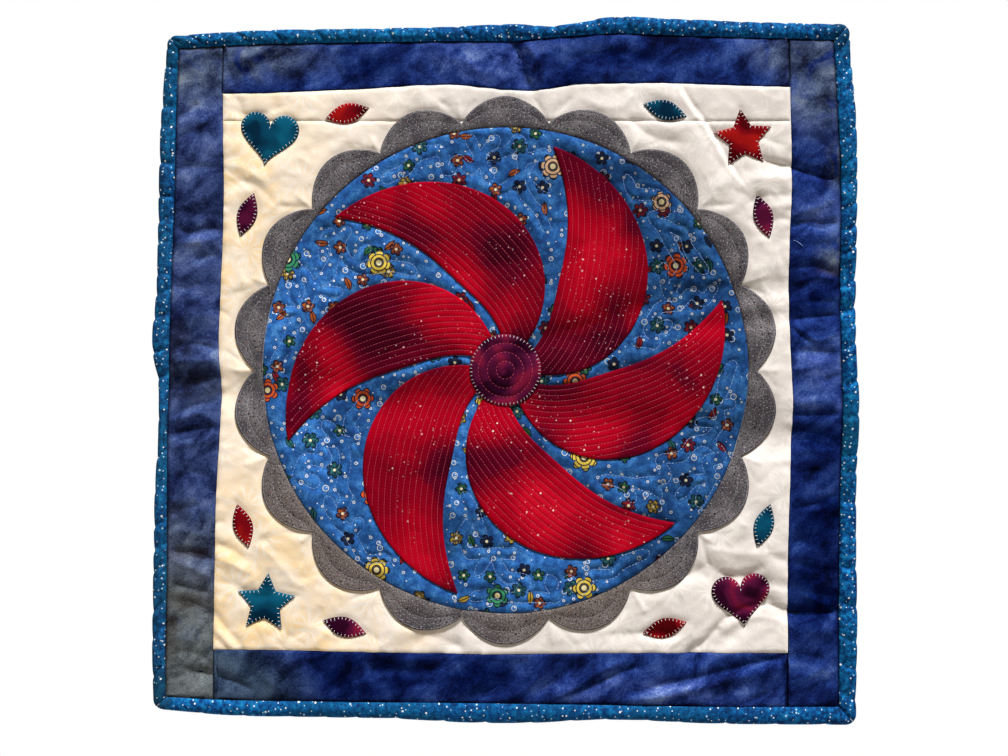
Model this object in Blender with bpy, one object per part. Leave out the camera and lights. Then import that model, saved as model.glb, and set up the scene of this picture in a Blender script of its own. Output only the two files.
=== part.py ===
"""Quilted wall hanging: a pieced and quilted square with appliqué and a folded binding.

Metres, +Z up. The front faces -Y and the wall plane is Y = 0. The origin is at the middle of
the top edge, where the hanging is held. The tables are in millimetres, (x, z) as seen from
the front, and finished objects are lowered or raised so that the top edge's middle is at Z = 0.
Every piece is cut on one shared net of triangles, the hanging's bent surface, so that pieces
that lie on each other keep an even gap.
"""

import math
from collections import namedtuple

import bmesh
import bpy
import numpy as np
from mathutils import Vector
from mathutils.geometry import delaunay_2d_cdt

MM = 0.001

# Thicknesses and gaps, in millimetres.
QUILT_THICKNESS = 3.0  # pieced top, wadding and backing, quilted into one
CLOTH_THICKNESS = 1.0  # appliqué and binding, with their turned edges
GAP = 0.3
HALF_GAP = GAP / 2
LAYER = CLOTH_THICKNESS + GAP
BACK_CLEARANCE = LAYER  # the binding's back leg touches the wall plane where the quilt is lowest

# The binding is folded around the quilt's edge.
CORNER_RADIUS = 8.0
CORNER_ROUNDS = 4  # of settling where two uneven sides meet
FOLD_LIP = 1.5  # half the height of the fold's outermost face
FOLD_WALL = 1.6  # cloth thickness at the fold, over which it is rounded
SIDE_STEPS = 18
FAR = 1000.0  # past any side
MITRE_STEPS = 4

# Each side of the hanging: where its outer edge, the binding's ditch and the border's seam lie.
Stop = namedtuple("Stop", "along edge ditch seam")
SIDES = {
    "top": (
        Stop(-245, -11.0, -21.0, -55.5),
        Stop(-190, -7.5, -18.0, -55.0),
        Stop(-112, -6.0, -16.5, -52.0),
        Stop(-40, -4.5, -15.5, -48.5),
        Stop(8, -2.5, -15.0, -52.5),
        Stop(32, -4.0, -13.0, -52.0),
        Stop(52, -2.0, -11.5, -48.5),
        Stop(74, 2.3, -10.0, -48.0),
        Stop(122, 1.5, -11.0, -47.5),
        Stop(185, -1.0, -13.0, -49.5),
        Stop(245, -2.5, -14.5, -51.0),
    ),
    "right": (
        Stop(-20, 258.5, 246.5, 212.5),
        Stop(-75, 263.0, 249.5, 213.5),
        Stop(-112, 264.0, 251.5, 214.5),
        Stop(-187, 263.3, 251.3, 212.5),
        Stop(-250, 263.3, 252.0, 213.5),
        Stop(-288, 265.5, 253.0, 215.3),
        Stop(-345, 263.3, 251.0, 213.0),
        Stop(-395, 263.0, 250.1, 211.5),
        Stop(-450, 264.0, 250.1, 211.5),
        Stop(-510, 263.0, 250.1, 211.5),
    ),
    "bottom": (
        Stop(-255, -517.5, -507.8, -472.0),
        Stop(-213, -521.3, -510.0, -472.0),
        Stop(-140, -522.8, -511.0, -473.0),
        Stop(-94, -523.5, -511.5, -474.0),
        Stop(-20, -527.3, -512.5, -475.5),
        Stop(17, -527.3, -513.0, -475.3),
        Stop(70, -525.0, -513.8, -474.8),
        Stop(160, -528.0, -515.3, -474.8),
        Stop(249, -528.8, -515.3, -474.8),
    ),
    "left": (
        Stop(-25, -255.0, -246.0, -212.3),
        Stop(-68, -258.8, -247.5, -212.3),
        Stop(-135, -261.0, -249.0, -211.5),
        Stop(-200, -262.5, -251.5, -213.8),
        Stop(-248, -265.5, -253.0, -215.5),
        Stop(-272, -261.8, -253.5, -213.8),
        Stop(-309, -261.0, -254.2, -214.5),
        Stop(-347, -263.3, -254.3, -216.8),
        Stop(-410, -264.8, -254.5, -218.3),
        Stop(-487, -265.5, -255.8, -219.8),
        Stop(-510, -264.8, -255.5, -219.8),
    ),
}
OUTWARD = {"top": 1, "right": 1, "bottom": -1, "left": -1}
LEVEL_SIDES = ("top", "bottom")  # these run along X, the others along Z

# The folds it hangs in: a ridge stands forward and a hollow has a negative height.
Fold = namedtuple("Fold", "name height reach route")
FOLDS = (
    Fold("upper right crest", 1.5, 13, ((116, -52), (139, -86), (162, -121))),
    Fold("upper right hollow", -1.3, 9, ((131, -50), (155, -83), (178, -119))),
    Fold("right border crease", -2.2, 7, ((198, -111), (225, -116), (256, -120))),
    Fold("upper cross fold", -3.6, 10, ((14, -246), (70, -229), (115, -210), (213, -199), (258, -190))),
    Fold("lower cross fold", -2.4, 8, ((54, -241), (98, -234), (145, -229), (258, -217))),
    Fold("middle hollow", -3.8, 16, ((-92, -290), (-27, -285), (40, -292), (100, -304), (216, -316))),
    Fold("left hollow", -3.0, 12, ((-258, -274), (-213, -281), (-130, -273))),
    Fold("bottom seam, middle", -2.6, 9, ((-48, -478), (-30, -456), (-12, -432))),
    Fold("bottom seam, right", -2.4, 8, ((140, -478), (187, -447), (254, -444))),
    Fold("lower right ease", -2.0, 8, ((136, -413), (215, -428))),
    Fold("top border dip", -2.6, 9, ((2, -12), (8, -34), (16, -58))),
    Fold("bottom left crease", -1.8, 7, ((-240, -489), (-206, -498))),
)
Swell = namedtuple("Swell", "x z height reach")
SWELLS = (
    Swell(-160, -120, 2.6, 75),
    Swell(70, -110, 3.4, 80),
    Swell(215, -60, 1.6, 45),
    Swell(-60, -220, 2.2, 60),
    Swell(170, -262, 2.4, 45),
    Swell(-185, -375, 2.8, 75),
    Swell(15, -385, 3.6, 85),
    Swell(190, -372, 2.4, 55),
    Swell(-110, -500, 1.8, 50),
)
REST_LIFT = 3.4  # how far the quilt stands off between the folds, before the swells
LIFT_SOFTNESS = 1.0  # how gently a deep hollow levels out at the wall plane
NET_X = (-280.0, 280.0)  # the net reaches past the outer edges
NET_Z = (-542.0, 16.0)
NET_STEP = 43.0
FOLD_STEP = 36.0
FLANK_REACH = 1.4  # the points beside a fold stand off by this much of its reach
NET_SPACING = 19.0  # no grid point nearer than this to a fold or to the binding
NET_MERGE = 1e-4  # points nearer than this are one
CUT_MERGE = 1e-3

# The panel's design: a whirligig medallion with a scalloped ring, and appliqué in the corners.
CENTRE = (-0.5, -262.5)
DISC_RADIUS = 182.0
DISC_STEPS = 54
SCALLOPS = 18
SCALLOP_VALLEY = 187.5
SCALLOP_DEPTH = 18.0
SCALLOP_FULLNESS = 0.8  # power of a lobe's sine wave: less is fuller
SCALLOP_STEPS = 4
HUB_RADIUS = 27.0
HUB_STEPS = 20
BLADES = 6
BLADE_ROOT = 17.0
BLADE_TIP = 171.0
BLADE_SWEEP = math.radians(66)
BLADE_BEND = 1.25
BLADE_START = math.radians(12)
BLADE_ROOT_HALF = 6.0
BLADE_BULGE = 30.0
BLADE_LEAN = 1.1  # above 1, the widest place is nearer to the tip
BLADE_FULLNESS = 0.9
BLADE_AHEAD = 0.01  # share of a blade over which its direction is taken
BLADE_STEPS = 10
GROUND_SEAM = -75.8  # the strip pieced on above this level

Motif = namedtuple("Motif", "name shape x z size turn colour")
MOTIFS = (
    Motif("heart_top_left", "heart", -178, -90, 44, -8, "teal"),
    Motif("star_top_right", "star", 178, -89, 46, 6, "red"),
    Motif("star_bottom_left", "star", -180, -437, 46, -5, "teal"),
    Motif("heart_bottom_right", "heart", 177, -436, 44, 7, "plum"),
    Motif("leaf_1", "leaf", -194, -146, 34, 72, "plum"),
    Motif("leaf_2", "leaf", -119, -70, 34, 14, "red"),
    Motif("leaf_3", "leaf", 119, -68, 34, -16, "teal"),
    Motif("leaf_4", "leaf", 193, -147, 34, -74, "plum"),
    Motif("leaf_5", "leaf", 193, -379, 34, 73, "teal"),
    Motif("leaf_6", "leaf", 119, -456, 34, 15, "red"),
    Motif("leaf_7", "leaf", -121, -455, 34, -17, "plum"),
    Motif("leaf_8", "leaf", -197, -379, 34, -75, "red"),
)
HEART_STEPS = 18
HEART_WAVES = (13, -5, -2, -1)  # of its height, once, twice, three and four times round
HEART_RAISE = 2.5
HEART_SPAN = 32.0
STAR_POINTS = 5
STAR_OUTER = 0.5
STAR_INNER = 0.25
LEAF_STEPS = 10
LEAF_HALF = 0.22

COLOURS = {
    "cream": (0.87, 0.80, 0.70),
    "indigo": (0.03, 0.05, 0.20),
    "binding_blue": (0.01, 0.13, 0.33),
    "print_blue": (0.04, 0.17, 0.52),
    "crimson": (0.45, 0.005, 0.03),
    "grey": (0.15, 0.15, 0.17),
    "teal": (0.01, 0.16, 0.23),
    "red": (0.48, 0.01, 0.02),
    "plum": (0.15, 0.02, 0.09),
}
ROUGHNESS = 0.9


def clear_scene():
    for obj in list(bpy.data.objects):
        bpy.data.objects.remove(obj, do_unlink=True)


def smooth_value(keys, values, at):
    """A cubic curve through the keys, held level past its ends."""
    if at <= keys[0]:
        return values[0]
    if at >= keys[-1]:
        return values[-1]
    slopes = np.gradient(values, keys)
    i = int(np.searchsorted(keys, at)) - 1
    span = keys[i + 1] - keys[i]
    t = (at - keys[i]) / span
    rise = (3 - 2 * t) * t * t
    start = values[i] * (1 - rise) + values[i + 1] * rise
    return start + span * t * (1 - t) * ((1 - t) * slopes[i] - t * slopes[i + 1])


def side_value(side, column, along):
    stops = sorted(SIDES[side])
    keys = [float(stop.along) for stop in stops]
    return smooth_value(keys, [getattr(stop, column) for stop in stops], along)


TOP_MIDDLE = side_value("top", "edge", 0.0)  # the origin's height in the tables


def side_point(side, column, along, inset=0.0):
    """The (x, z) point of a side's line, moved inward by inset."""
    across = side_value(side, column, along) - OUTWARD[side] * inset
    return (along, across) if side in LEVEL_SIDES else (across, along)


def corner(level, upright, column, inset=0.0):
    """Where the lines of two sides meet."""
    x, z = side_point(upright, column, SIDES[level][0].edge, inset)
    for _ in range(CORNER_ROUNDS):
        z = side_point(level, column, x, inset)[1]
        x = side_point(upright, column, z, inset)[0]
    return x, z


def corner_arc(level, upright, inset):
    """The rounded outer corner, from its level side to its upright side."""
    x, z = corner(level, upright, "edge")
    centre_x = x - OUTWARD[upright] * CORNER_RADIUS
    centre_z = z - OUTWARD[level] * CORNER_RADIUS
    radius = CORNER_RADIUS - inset
    turns = [math.pi / 2 * i / MITRE_STEPS for i in range(MITRE_STEPS + 1)]
    return [
        (
            centre_x + OUTWARD[upright] * radius * math.sin(turn),
            centre_z + OUTWARD[level] * radius * math.cos(turn),
        )
        for turn in turns
    ]


def spaced(start, end, steps):
    return [start + (end - start) * i / steps for i in range(steps + 1)]


def edge_run(side, inset):
    """The outer edge of one side between its rounded corners, left to right or top to bottom."""
    if side in LEVEL_SIDES:
        start = corner(side, "left", "edge")[0] + CORNER_RADIUS
        end = corner(side, "right", "edge")[0] - CORNER_RADIUS
    else:
        start = corner("top", side, "edge")[1] - CORNER_RADIUS
        end = corner("bottom", side, "edge")[1] + CORNER_RADIUS
    inner = spaced(start, end, SIDE_STEPS)[1:-1]
    return [side_point(side, "edge", along, inset) for along in inner]


def side_ends(side):
    """The corners at a side's two ends, each as (level side, upright side)."""
    if side in LEVEL_SIDES:
        return (side, "left"), (side, "right")
    return ("top", side), ("bottom", side)


def half_arc(side, ends, inset):
    """The half of a rounded corner that belongs to this side, from the mitre outward."""
    arc = corner_arc(*ends, inset)
    middle = MITRE_STEPS // 2
    half = arc[: middle + 1] if side in LEVEL_SIDES else arc[middle:][::-1]
    return half[::-1]


def edge_line(side, inset):
    """The outer edge of one side from mitre to mitre, at this inset."""
    first, last = side_ends(side)
    return half_arc(side, first, inset) + edge_run(side, inset) + half_arc(side, last, inset)[::-1]


def opened_at_mitres(line, side):
    """The same line, shortened at both mitres by half of the gap."""
    shift = HALF_GAP * math.sqrt(2)
    step = (shift, 0.0) if side in LEVEL_SIDES else (0.0, -shift)
    first = (line[0][0] + step[0], line[0][1] + step[1])
    last = (line[-1][0] - step[0], line[-1][1] - step[1])
    return [first] + line[1:-1] + [last]


def ditch_line(side):
    """The binding's inner line, from mitre to mitre."""
    first, last = (corner(*ends, "ditch") for ends in side_ends(side))
    axis = 0 if side in LEVEL_SIDES else 1
    inner = spaced(first[axis], last[axis], SIDE_STEPS)[1:-1]
    return [first] + [side_point(side, "ditch", along) for along in inner] + [last]


def binding_lines(side):
    """The binding's outer edge, the inside of its fold, and its ditch, from mitre to mitre."""
    return [edge_line(side, 0.0), edge_line(side, FOLD_WALL), ditch_line(side)]


def seam_line(side, inset):
    """The border's seam, left to right or top to bottom. An upright one runs on to the edges."""
    first, last = (corner(*ends, "seam") for ends in side_ends(side))
    if side in LEVEL_SIDES:
        stations = spaced(first[0], last[0], SIDE_STEPS)
    else:
        over, under = (side_value(level, "edge", first[0]) for level in LEVEL_SIDES)
        stations = [over] + spaced(first[1], last[1], SIDE_STEPS) + [under]
    return [side_point(side, "seam", along, inset) for along in stations]


def between(line, axis, low, high):
    """The stretch of a line between two places along an axis, cut to them and sorted along it."""
    line = sorted(line, key=lambda point: point[axis])
    keys = [point[axis] for point in line]
    others = [point[1 - axis] for point in line]

    def cut(value):
        other = float(np.interp(value, keys, others))
        return (value, other) if axis == 0 else (other, value)

    stretch = [point for point in line if low < point[axis] < high]
    if low > keys[0]:
        stretch.insert(0, cut(low))
    if high < keys[-1]:
        stretch.append(cut(high))
    return stretch


def distance_to_route(points, route):
    """Each point's distance to a polyline."""
    points = np.asarray(points, float)
    best = np.full(len(points), np.inf)
    for start, end in zip(route, route[1:]):
        start = np.asarray(start, float)
        run = np.asarray(end, float) - start
        share = np.clip((points - start) @ run / (run @ run), 0, 1)
        best = np.minimum(best, np.linalg.norm(points - start - share[:, None] * run, axis=1))
    return best


def true_lift(points):
    """How far the quilt's back stands off its rest, at each (x, z) point."""
    points = np.asarray(points, float)
    lift = np.full(len(points), REST_LIFT)
    for swell in SWELLS:
        away = np.linalg.norm(points - (swell.x, swell.z), axis=1) / swell.reach
        lift += swell.height * np.exp(-(away**2))
    for fold in FOLDS:
        away = distance_to_route(points, fold.route) / fold.reach
        lift += fold.height * np.exp(-(away**2))
    return (lift + np.sqrt(lift**2 + LIFT_SOFTNESS**2)) / 2 + BACK_CLEARANCE


def fold_points(fold):
    """Points along a fold's line, and beside it at both flanks."""
    line, flanks = [], []
    for start, end in zip(fold.route, fold.route[1:]):
        run = np.subtract(end, start)
        steps = max(1, round(np.linalg.norm(run) / FOLD_STEP))
        aside = np.array((-run[1], run[0])) / np.linalg.norm(run) * fold.reach * FLANK_REACH
        for i in range(steps):
            place = np.add(start, run * i / steps)
            line.append(place)
            if i or not line[:-1]:
                flanks += [place + aside, place - aside]
    line.append(np.array(fold.route[-1], float))
    return line, flanks


def build_net():
    """The bent surface as triangles: a coarse grid with the lines of the folds and binding."""
    lines = [fold_points(fold) for fold in FOLDS]
    for side in SIDES:
        lines += [(line, []) for line in binding_lines(side)]
    points, edges = [], []
    for line, flanks in lines:
        edges += [(len(points) + i, len(points) + i + 1) for i in range(len(line) - 1)]
        points += [np.array(point) for point in line] + flanks
    kept = np.array(points)
    columns, rows = (spaced(low, high, round((high - low) / NET_STEP)) for low, high in (NET_X, NET_Z))
    for x in columns:
        for z in rows:
            if np.min(np.linalg.norm(kept - (x, z), axis=1)) > NET_SPACING:
                points.append(np.array((x, z)))
    flat = [Vector(point) for point in points]
    found, joins, faces, *_ = delaunay_2d_cdt(flat, edges, [], 0, NET_MERGE, False)
    places = np.array([tuple(point) for point in found])
    return places, joins, np.array(faces), true_lift(places)


NET_PLACES, NET_JOINS, NET_FACES, NET_LIFT = build_net()


def lift(x, z):
    """The net's height over the wall plane at one point: flat within each of its triangles."""
    a, b, c = (NET_PLACES[NET_FACES[:, i]] for i in range(3))
    across, down, to = b - a, c - a, np.array((x, z)) - a
    area = across[:, 0] * down[:, 1] - across[:, 1] * down[:, 0]
    v = (to[:, 0] * down[:, 1] - to[:, 1] * down[:, 0]) / area
    w = (across[:, 0] * to[:, 1] - across[:, 1] * to[:, 0]) / area
    shares = np.stack((1 - v - w, v, w), axis=1)
    best = int(np.argmax(shares.min(axis=1)))
    return float(shares[best] @ NET_LIFT[NET_FACES[best]])


def turned_left(outline):
    """The outline counter-clockwise, as the triangulation needs it."""
    places = np.array(outline)
    following = np.roll(places, -1, axis=0)
    area = np.sum(places[:, 0] * following[:, 1] - places[:, 1] * following[:, 0])
    return outline if area > 0 else outline[::-1]


def cut_on_net(outlines):
    """Triangulates outlines along the net's lines. Gives points, triangles and, for each
    triangle, the outlines it lies in."""
    outlines = [turned_left(outline) for outline in outlines]
    points = [Vector(point) for outline in outlines for point in outline]
    faces, start = [], 0
    for outline in outlines:
        faces.append(list(range(start, start + len(outline))))
        start += len(outline)
    low = np.min([tuple(point) for point in points], axis=0)
    high = np.max([tuple(point) for point in points], axis=0)
    edges, number = [], {}
    for ends in NET_JOINS:
        places = NET_PLACES[list(ends)]
        if np.any(places.max(axis=0) < low) or np.any(places.min(axis=0) > high):
            continue
        for end in ends:
            if end not in number:
                number[end] = len(points)
                points.append(Vector(NET_PLACES[end]))
        edges.append(tuple(number[end] for end in ends))
    found, _, triangles, _, _, inside = delaunay_2d_cdt(points, edges, faces, 0, CUT_MERGE, True)
    return [tuple(point) for point in found], triangles, inside


def facing_front(points, triangle):
    """The triangle's corners in the order that faces -Y."""
    (ax, az), (bx, bz), (cx, cz) = (points[i] for i in triangle)
    turns_left = (bx - ax) * (cz - az) - (bz - az) * (cx - ax) > 0
    return tuple(triangle) if turns_left else tuple(triangle)[::-1]


def rim_of(triangles):
    """The directed edges that only one triangle has."""
    directed = {(t[i], t[(i + 1) % 3]) for t in triangles for i in range(3)}
    return [edge for edge in directed if edge[::-1] not in directed]


class Solid:
    """Collects vertices by (point, level) and triangles, and makes one object of them."""

    def __init__(self, points, heights):
        self.points = points
        self.heights = heights
        self.mesh = bmesh.new()
        self.corners = {}

    def corner(self, point, level):
        key = (point, level)
        if key not in self.corners:
            x, z = self.points[point]
            y = -self.heights[level][point]
            self.corners[key] = self.mesh.verts.new((x * MM, y * MM, (z - TOP_MIDDLE) * MM))
        return self.corners[key]

    def face(self, *keys):
        self.mesh.faces.new([self.corner(*key) for key in keys])

    def sheet(self, triangles, level, front):
        for triangle in triangles:
            order = triangle if front else triangle[::-1]
            self.face(*((point, level) for point in order))

    def wall(self, edge, near, far):
        """Closes a rim edge between the level nearer the viewer and the one behind it."""
        start, end = edge
        self.face((end, near), (start, near), (start, far))
        self.face((end, near), (start, far), (end, far))

    def finish(self, name, colour):
        data = bpy.data.meshes.new(name)
        self.mesh.to_mesh(data)
        self.mesh.free()
        data.materials.append(cloth_material(colour))
        obj = bpy.data.objects.new(name, data)
        bpy.context.scene.collection.objects.link(obj)
        return obj


def cloth_material(colour):
    found = bpy.data.materials.get(colour)
    if found:
        return found
    material = bpy.data.materials.new(colour)
    material.use_nodes = True
    shader = material.node_tree.nodes["Principled BSDF"]
    shader.inputs["Base Color"].default_value = (*COLOURS[colour], 1.0)
    shader.inputs["Roughness"].default_value = ROUGHNESS
    shader.inputs["Metallic"].default_value = 0.0
    return material


def plate(name, colour, outline, back, thickness, hole=None):
    """A piece of cloth of this outline, its back so far in front of the quilt's back."""
    outlines = [outline] + ([hole] if hole else [])
    points, triangles, inside = cut_on_net(outlines)
    kept = [
        facing_front(points, triangle)
        for triangle, within in zip(triangles, inside)
        if 0 in within and 1 not in within
    ]
    used = {point for triangle in kept for point in triangle}
    lifts = {point: lift(*points[point]) for point in used}
    heights = {
        "back": {point: value + back for point, value in lifts.items()},
        "front": {point: value + back + thickness for point, value in lifts.items()},
    }
    solid = Solid(points, heights)
    solid.sheet(kept, "front", True)
    solid.sheet(kept, "back", False)
    for edge in rim_of(kept):
        solid.wall(edge, "front", "back")
    return solid.finish(name, colour)


def binding_strip(side):
    """One side's binding: a strip folded over the edge, with a leg on the front and the back."""
    outer, wall, ditch = (opened_at_mitres(line, side) for line in binding_lines(side))
    points, triangles, inside = cut_on_net([outer + wall[::-1], wall + ditch[::-1]])
    fold, legs = (
        [facing_front(points, triangle) for triangle, within in zip(triangles, inside) if band in within]
        for band in range(2)
    )
    used = sorted({point for triangle in fold + legs for point in triangle})
    inward = distance_to_route([points[point] for point in used], outer)
    half = QUILT_THICKNESS / 2 + LAYER
    levels = {name: {} for name in ("front", "under front", "over back", "back")}
    for point, depth in zip(used, inward):
        middle = lift(*points[point]) + QUILT_THICKNESS / 2
        reach = FOLD_LIP + (half - FOLD_LIP) * min(1.0, depth / FOLD_WALL)
        levels["front"][point] = middle + reach
        levels["under front"][point] = middle + half - CLOTH_THICKNESS
        levels["over back"][point] = middle - half + CLOTH_THICKNESS
        levels["back"][point] = middle - reach
    solid = Solid(points, levels)
    solid.sheet(fold + legs, "front", True)
    solid.sheet(legs, "under front", False)
    solid.sheet(legs, "over back", True)
    solid.sheet(fold + legs, "back", False)
    leg_rim = set(rim_of(legs))
    fold_rim = set(rim_of(fold))
    for edge in leg_rim:
        if edge[::-1] in fold_rim:
            solid.wall(edge[::-1], "under front", "over back")
        else:
            solid.wall(edge, "front", "under front")
            solid.wall(edge, "over back", "back")
    legs_reach = {point for triangle in legs for point in triangle}
    for edge in fold_rim:
        if edge[::-1] not in leg_rim:
            close_fold(solid, edge, legs_reach)
    return solid.finish(f"binding_{side}", "binding_blue")


def close_fold(solid, edge, legs_reach):
    """Closes the fold's own rim, meeting the legs' levels where it ends at one of their points."""
    start, end = edge
    steps = ("front", "under front", "over back", "back")
    if end in legs_reach:
        for near, far in zip(steps, steps[1:]):
            solid.face((start, "front"), (end, far), (end, near))
        solid.face((start, "front"), (start, "back"), (end, "back"))
    elif start in legs_reach:
        for near, far in zip(steps, steps[1:]):
            solid.face((end, "front"), (start, near), (start, far))
        solid.face((end, "front"), (start, "back"), (end, "back"))
    else:
        solid.wall(edge, "front", "back")


def add_borders():
    """Side strips run the full height, and the top and bottom strips lie between them."""
    core = {side: edge_line(side, FOLD_WALL + GAP) for side in SIDES}
    for side in ("left", "right"):
        seam = seam_line(side, -HALF_GAP)
        outward = OUTWARD[side]
        over, under = (
            between(core[level], 0, *sorted((seam[end][0], outward * FAR)))[::-outward]
            for level, end in (("top", 0), ("bottom", -1))
        )
        rise = [point for point in seam[::-1] if under[-1][1] < point[1] < over[-1][1]]
        outline = over[::-1] + core[side][1:-1] + under + rise
        plate(f"border_{side}", "indigo", outline, 0.0, QUILT_THICKNESS)
    for side in LEVEL_SIDES:
        left, right = (seam_line(upright, HALF_GAP) for upright in ("left", "right"))
        outer_end = 0 if side == "top" else -1
        over = between(core[side], 0, left[outer_end][0], right[outer_end][0])
        inner_end = 1 if side == "top" else -2
        seam = between(seam_line(side, -HALF_GAP), 0, left[inner_end][0], right[inner_end][0])
        plate(f"border_{side}", "indigo", over + seam[::-1], 0.0, QUILT_THICKNESS)


def add_ground():
    """The cream panel, pieced of a narrow upper strip and a large lower piece."""
    seams = {side: seam_line(side, HALF_GAP) for side in SIDES}
    left, right = seams["left"], seams["right"]
    top = between(seams["top"], 0, left[1][0], right[1][0])
    bottom = between(seams["bottom"], 0, left[-2][0], right[-2][0])
    split = [GROUND_SEAM + HALF_GAP, GROUND_SEAM - HALF_GAP]
    upper = [between(line, 1, split[0], top[0][1]) for line in (left, right)]
    lower = [between(line, 1, bottom[0][1], split[1]) for line in (left, right)]
    plate("ground_upper", "cream", top + upper[1][-2::-1] + upper[0][:-1], 0.0, QUILT_THICKNESS)
    plate("ground_lower", "cream", bottom + lower[1][1:] + lower[0][:0:-1], 0.0, QUILT_THICKNESS)


def polar(radius, turn):
    return CENTRE[0] + radius * math.cos(turn), CENTRE[1] + radius * math.sin(turn)


def circle(radius, steps):
    return [polar(radius, 2 * math.pi * i / steps) for i in range(steps)]


def scallop_outline():
    """A ring of round lobes that meet in valleys."""
    steps = SCALLOPS * SCALLOP_STEPS
    outline = []
    for i in range(steps):
        lobe = math.pi * (i % SCALLOP_STEPS) / SCALLOP_STEPS
        reach = SCALLOP_VALLEY + SCALLOP_DEPTH * math.sin(lobe) ** SCALLOP_FULLNESS
        outline.append(polar(reach, 2 * math.pi * i / steps))
    return outline


def blade_place(share, start):
    """A point of a blade's middle line, which bends as it runs from the hub to the rim."""
    radius = BLADE_ROOT + (BLADE_TIP - BLADE_ROOT) * share
    return polar(radius, start + BLADE_SWEEP * share**BLADE_BEND)


def blade_outline(start):
    sides = ([], [])
    for i in range(BLADE_STEPS):
        share = i / BLADE_STEPS
        x, z = blade_place(share, start)
        ahead = blade_place(share + BLADE_AHEAD, start)
        along = np.subtract(ahead, (x, z))
        along /= np.linalg.norm(along)
        bulge = BLADE_BULGE * math.sin(math.pi * share**BLADE_LEAN) ** BLADE_FULLNESS
        half = BLADE_ROOT_HALF * (1 - share) + bulge
        sides[0].append((x - along[1] * half, z + along[0] * half))
        sides[1].append((x + along[1] * half, z - along[0] * half))
    return sides[0] + [blade_place(1.0, start)] + sides[1][::-1]


def heart():
    """A heart one unit wide, with its point down."""
    outline = []
    for i in range(HEART_STEPS):
        turn = 2 * math.pi * (i + 0.5) / HEART_STEPS
        height = sum(wave * math.cos(k * turn) for k, wave in enumerate(HEART_WAVES, 1))
        outline.append((math.sin(turn) ** 3 / 2, (height + HEART_RAISE) / HEART_SPAN))
    return outline


def star():
    """A five-pointed star one unit across."""
    outline = []
    for i in range(2 * STAR_POINTS):
        turn = math.pi / 2 + math.pi * i / STAR_POINTS
        reach = STAR_INNER if i % 2 else STAR_OUTER
        outline.append((reach * math.cos(turn), reach * math.sin(turn)))
    return outline


def leaf():
    """A leaf one unit long, pointed at both ends."""
    half = LEAF_STEPS // 2
    upper = [(i / half - 0.5, LEAF_HALF * math.sin(math.pi * i / half)) for i in range(half)]
    return upper + [(-x, -z) for x, z in upper]


SHAPES = {"heart": heart, "star": star, "leaf": leaf}


def motif_outline(motif):
    turn = math.radians(motif.turn)
    return [
        (
            motif.x + motif.size * (x * math.cos(turn) - z * math.sin(turn)),
            motif.z + motif.size * (x * math.sin(turn) + z * math.cos(turn)),
        )
        for x, z in SHAPES[motif.shape]()
    ]


def add_applique():
    """The pieces sewn on: the first layer on the ground, the blades on the disc, the hub on top."""
    first = QUILT_THICKNESS + GAP
    disc = circle(DISC_RADIUS, DISC_STEPS)
    plate("disc", "print_blue", disc, first, CLOTH_THICKNESS)
    inner = circle(DISC_RADIUS + 2 * GAP, DISC_STEPS)
    plate("scallop_ring", "grey", scallop_outline(), first, CLOTH_THICKNESS, hole=inner)
    for i in range(BLADES):
        outline = blade_outline(BLADE_START + 2 * math.pi * i / BLADES)
        plate(f"blade_{i + 1}", "crimson", outline, first + LAYER, CLOTH_THICKNESS)
    plate("hub", "plum", circle(HUB_RADIUS, HUB_STEPS), first + 2 * LAYER, CLOTH_THICKNESS)
    for motif in MOTIFS:
        plate(motif.name, motif.colour, motif_outline(motif), first, CLOTH_THICKNESS)


def main():
    clear_scene()
    add_ground()
    add_borders()
    for side in SIDES:
        binding_strip(side)
    add_applique()


main()
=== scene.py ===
"""Looks of the quilted wall hanging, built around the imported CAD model.

Tables and lines are in millimetres, (x, z) as seen from the front, as in the CAD source, whose
tables of the hanging's shape are repeated here. A height is a distance in front of the wall
plane. Every piece of cloth is a closed thin body whose front carries the quilting relief.
"""

import math
from collections import namedtuple

import bpy
import numpy as np
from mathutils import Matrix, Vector
from mathutils.geometry import delaunay_2d_cdt
from mathutils.kdtree import KDTree

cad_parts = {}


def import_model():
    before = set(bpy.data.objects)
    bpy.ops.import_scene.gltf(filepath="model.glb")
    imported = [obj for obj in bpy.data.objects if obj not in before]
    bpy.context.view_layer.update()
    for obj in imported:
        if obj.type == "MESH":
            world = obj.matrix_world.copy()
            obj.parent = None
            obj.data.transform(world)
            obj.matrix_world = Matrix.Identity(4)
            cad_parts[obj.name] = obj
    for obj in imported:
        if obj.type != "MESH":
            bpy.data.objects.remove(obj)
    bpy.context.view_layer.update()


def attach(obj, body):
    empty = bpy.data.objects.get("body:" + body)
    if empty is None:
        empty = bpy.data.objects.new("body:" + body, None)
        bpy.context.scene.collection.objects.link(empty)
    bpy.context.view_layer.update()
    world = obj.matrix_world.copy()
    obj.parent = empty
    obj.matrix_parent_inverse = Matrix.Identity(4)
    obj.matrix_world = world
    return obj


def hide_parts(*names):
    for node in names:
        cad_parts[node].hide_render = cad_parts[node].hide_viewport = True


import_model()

MM = 0.001
FULL_TURN = 2 * math.pi

# ---------------------------------------------------------------- the hanging's shape, as in CAD

CORNER_RADIUS = 8.0
Stop = namedtuple("Stop", "along edge ditch seam")


def stops(*rows):
    """The stops of one side, in order of their places along it."""
    return sorted(Stop(*row) for row in rows)


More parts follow.
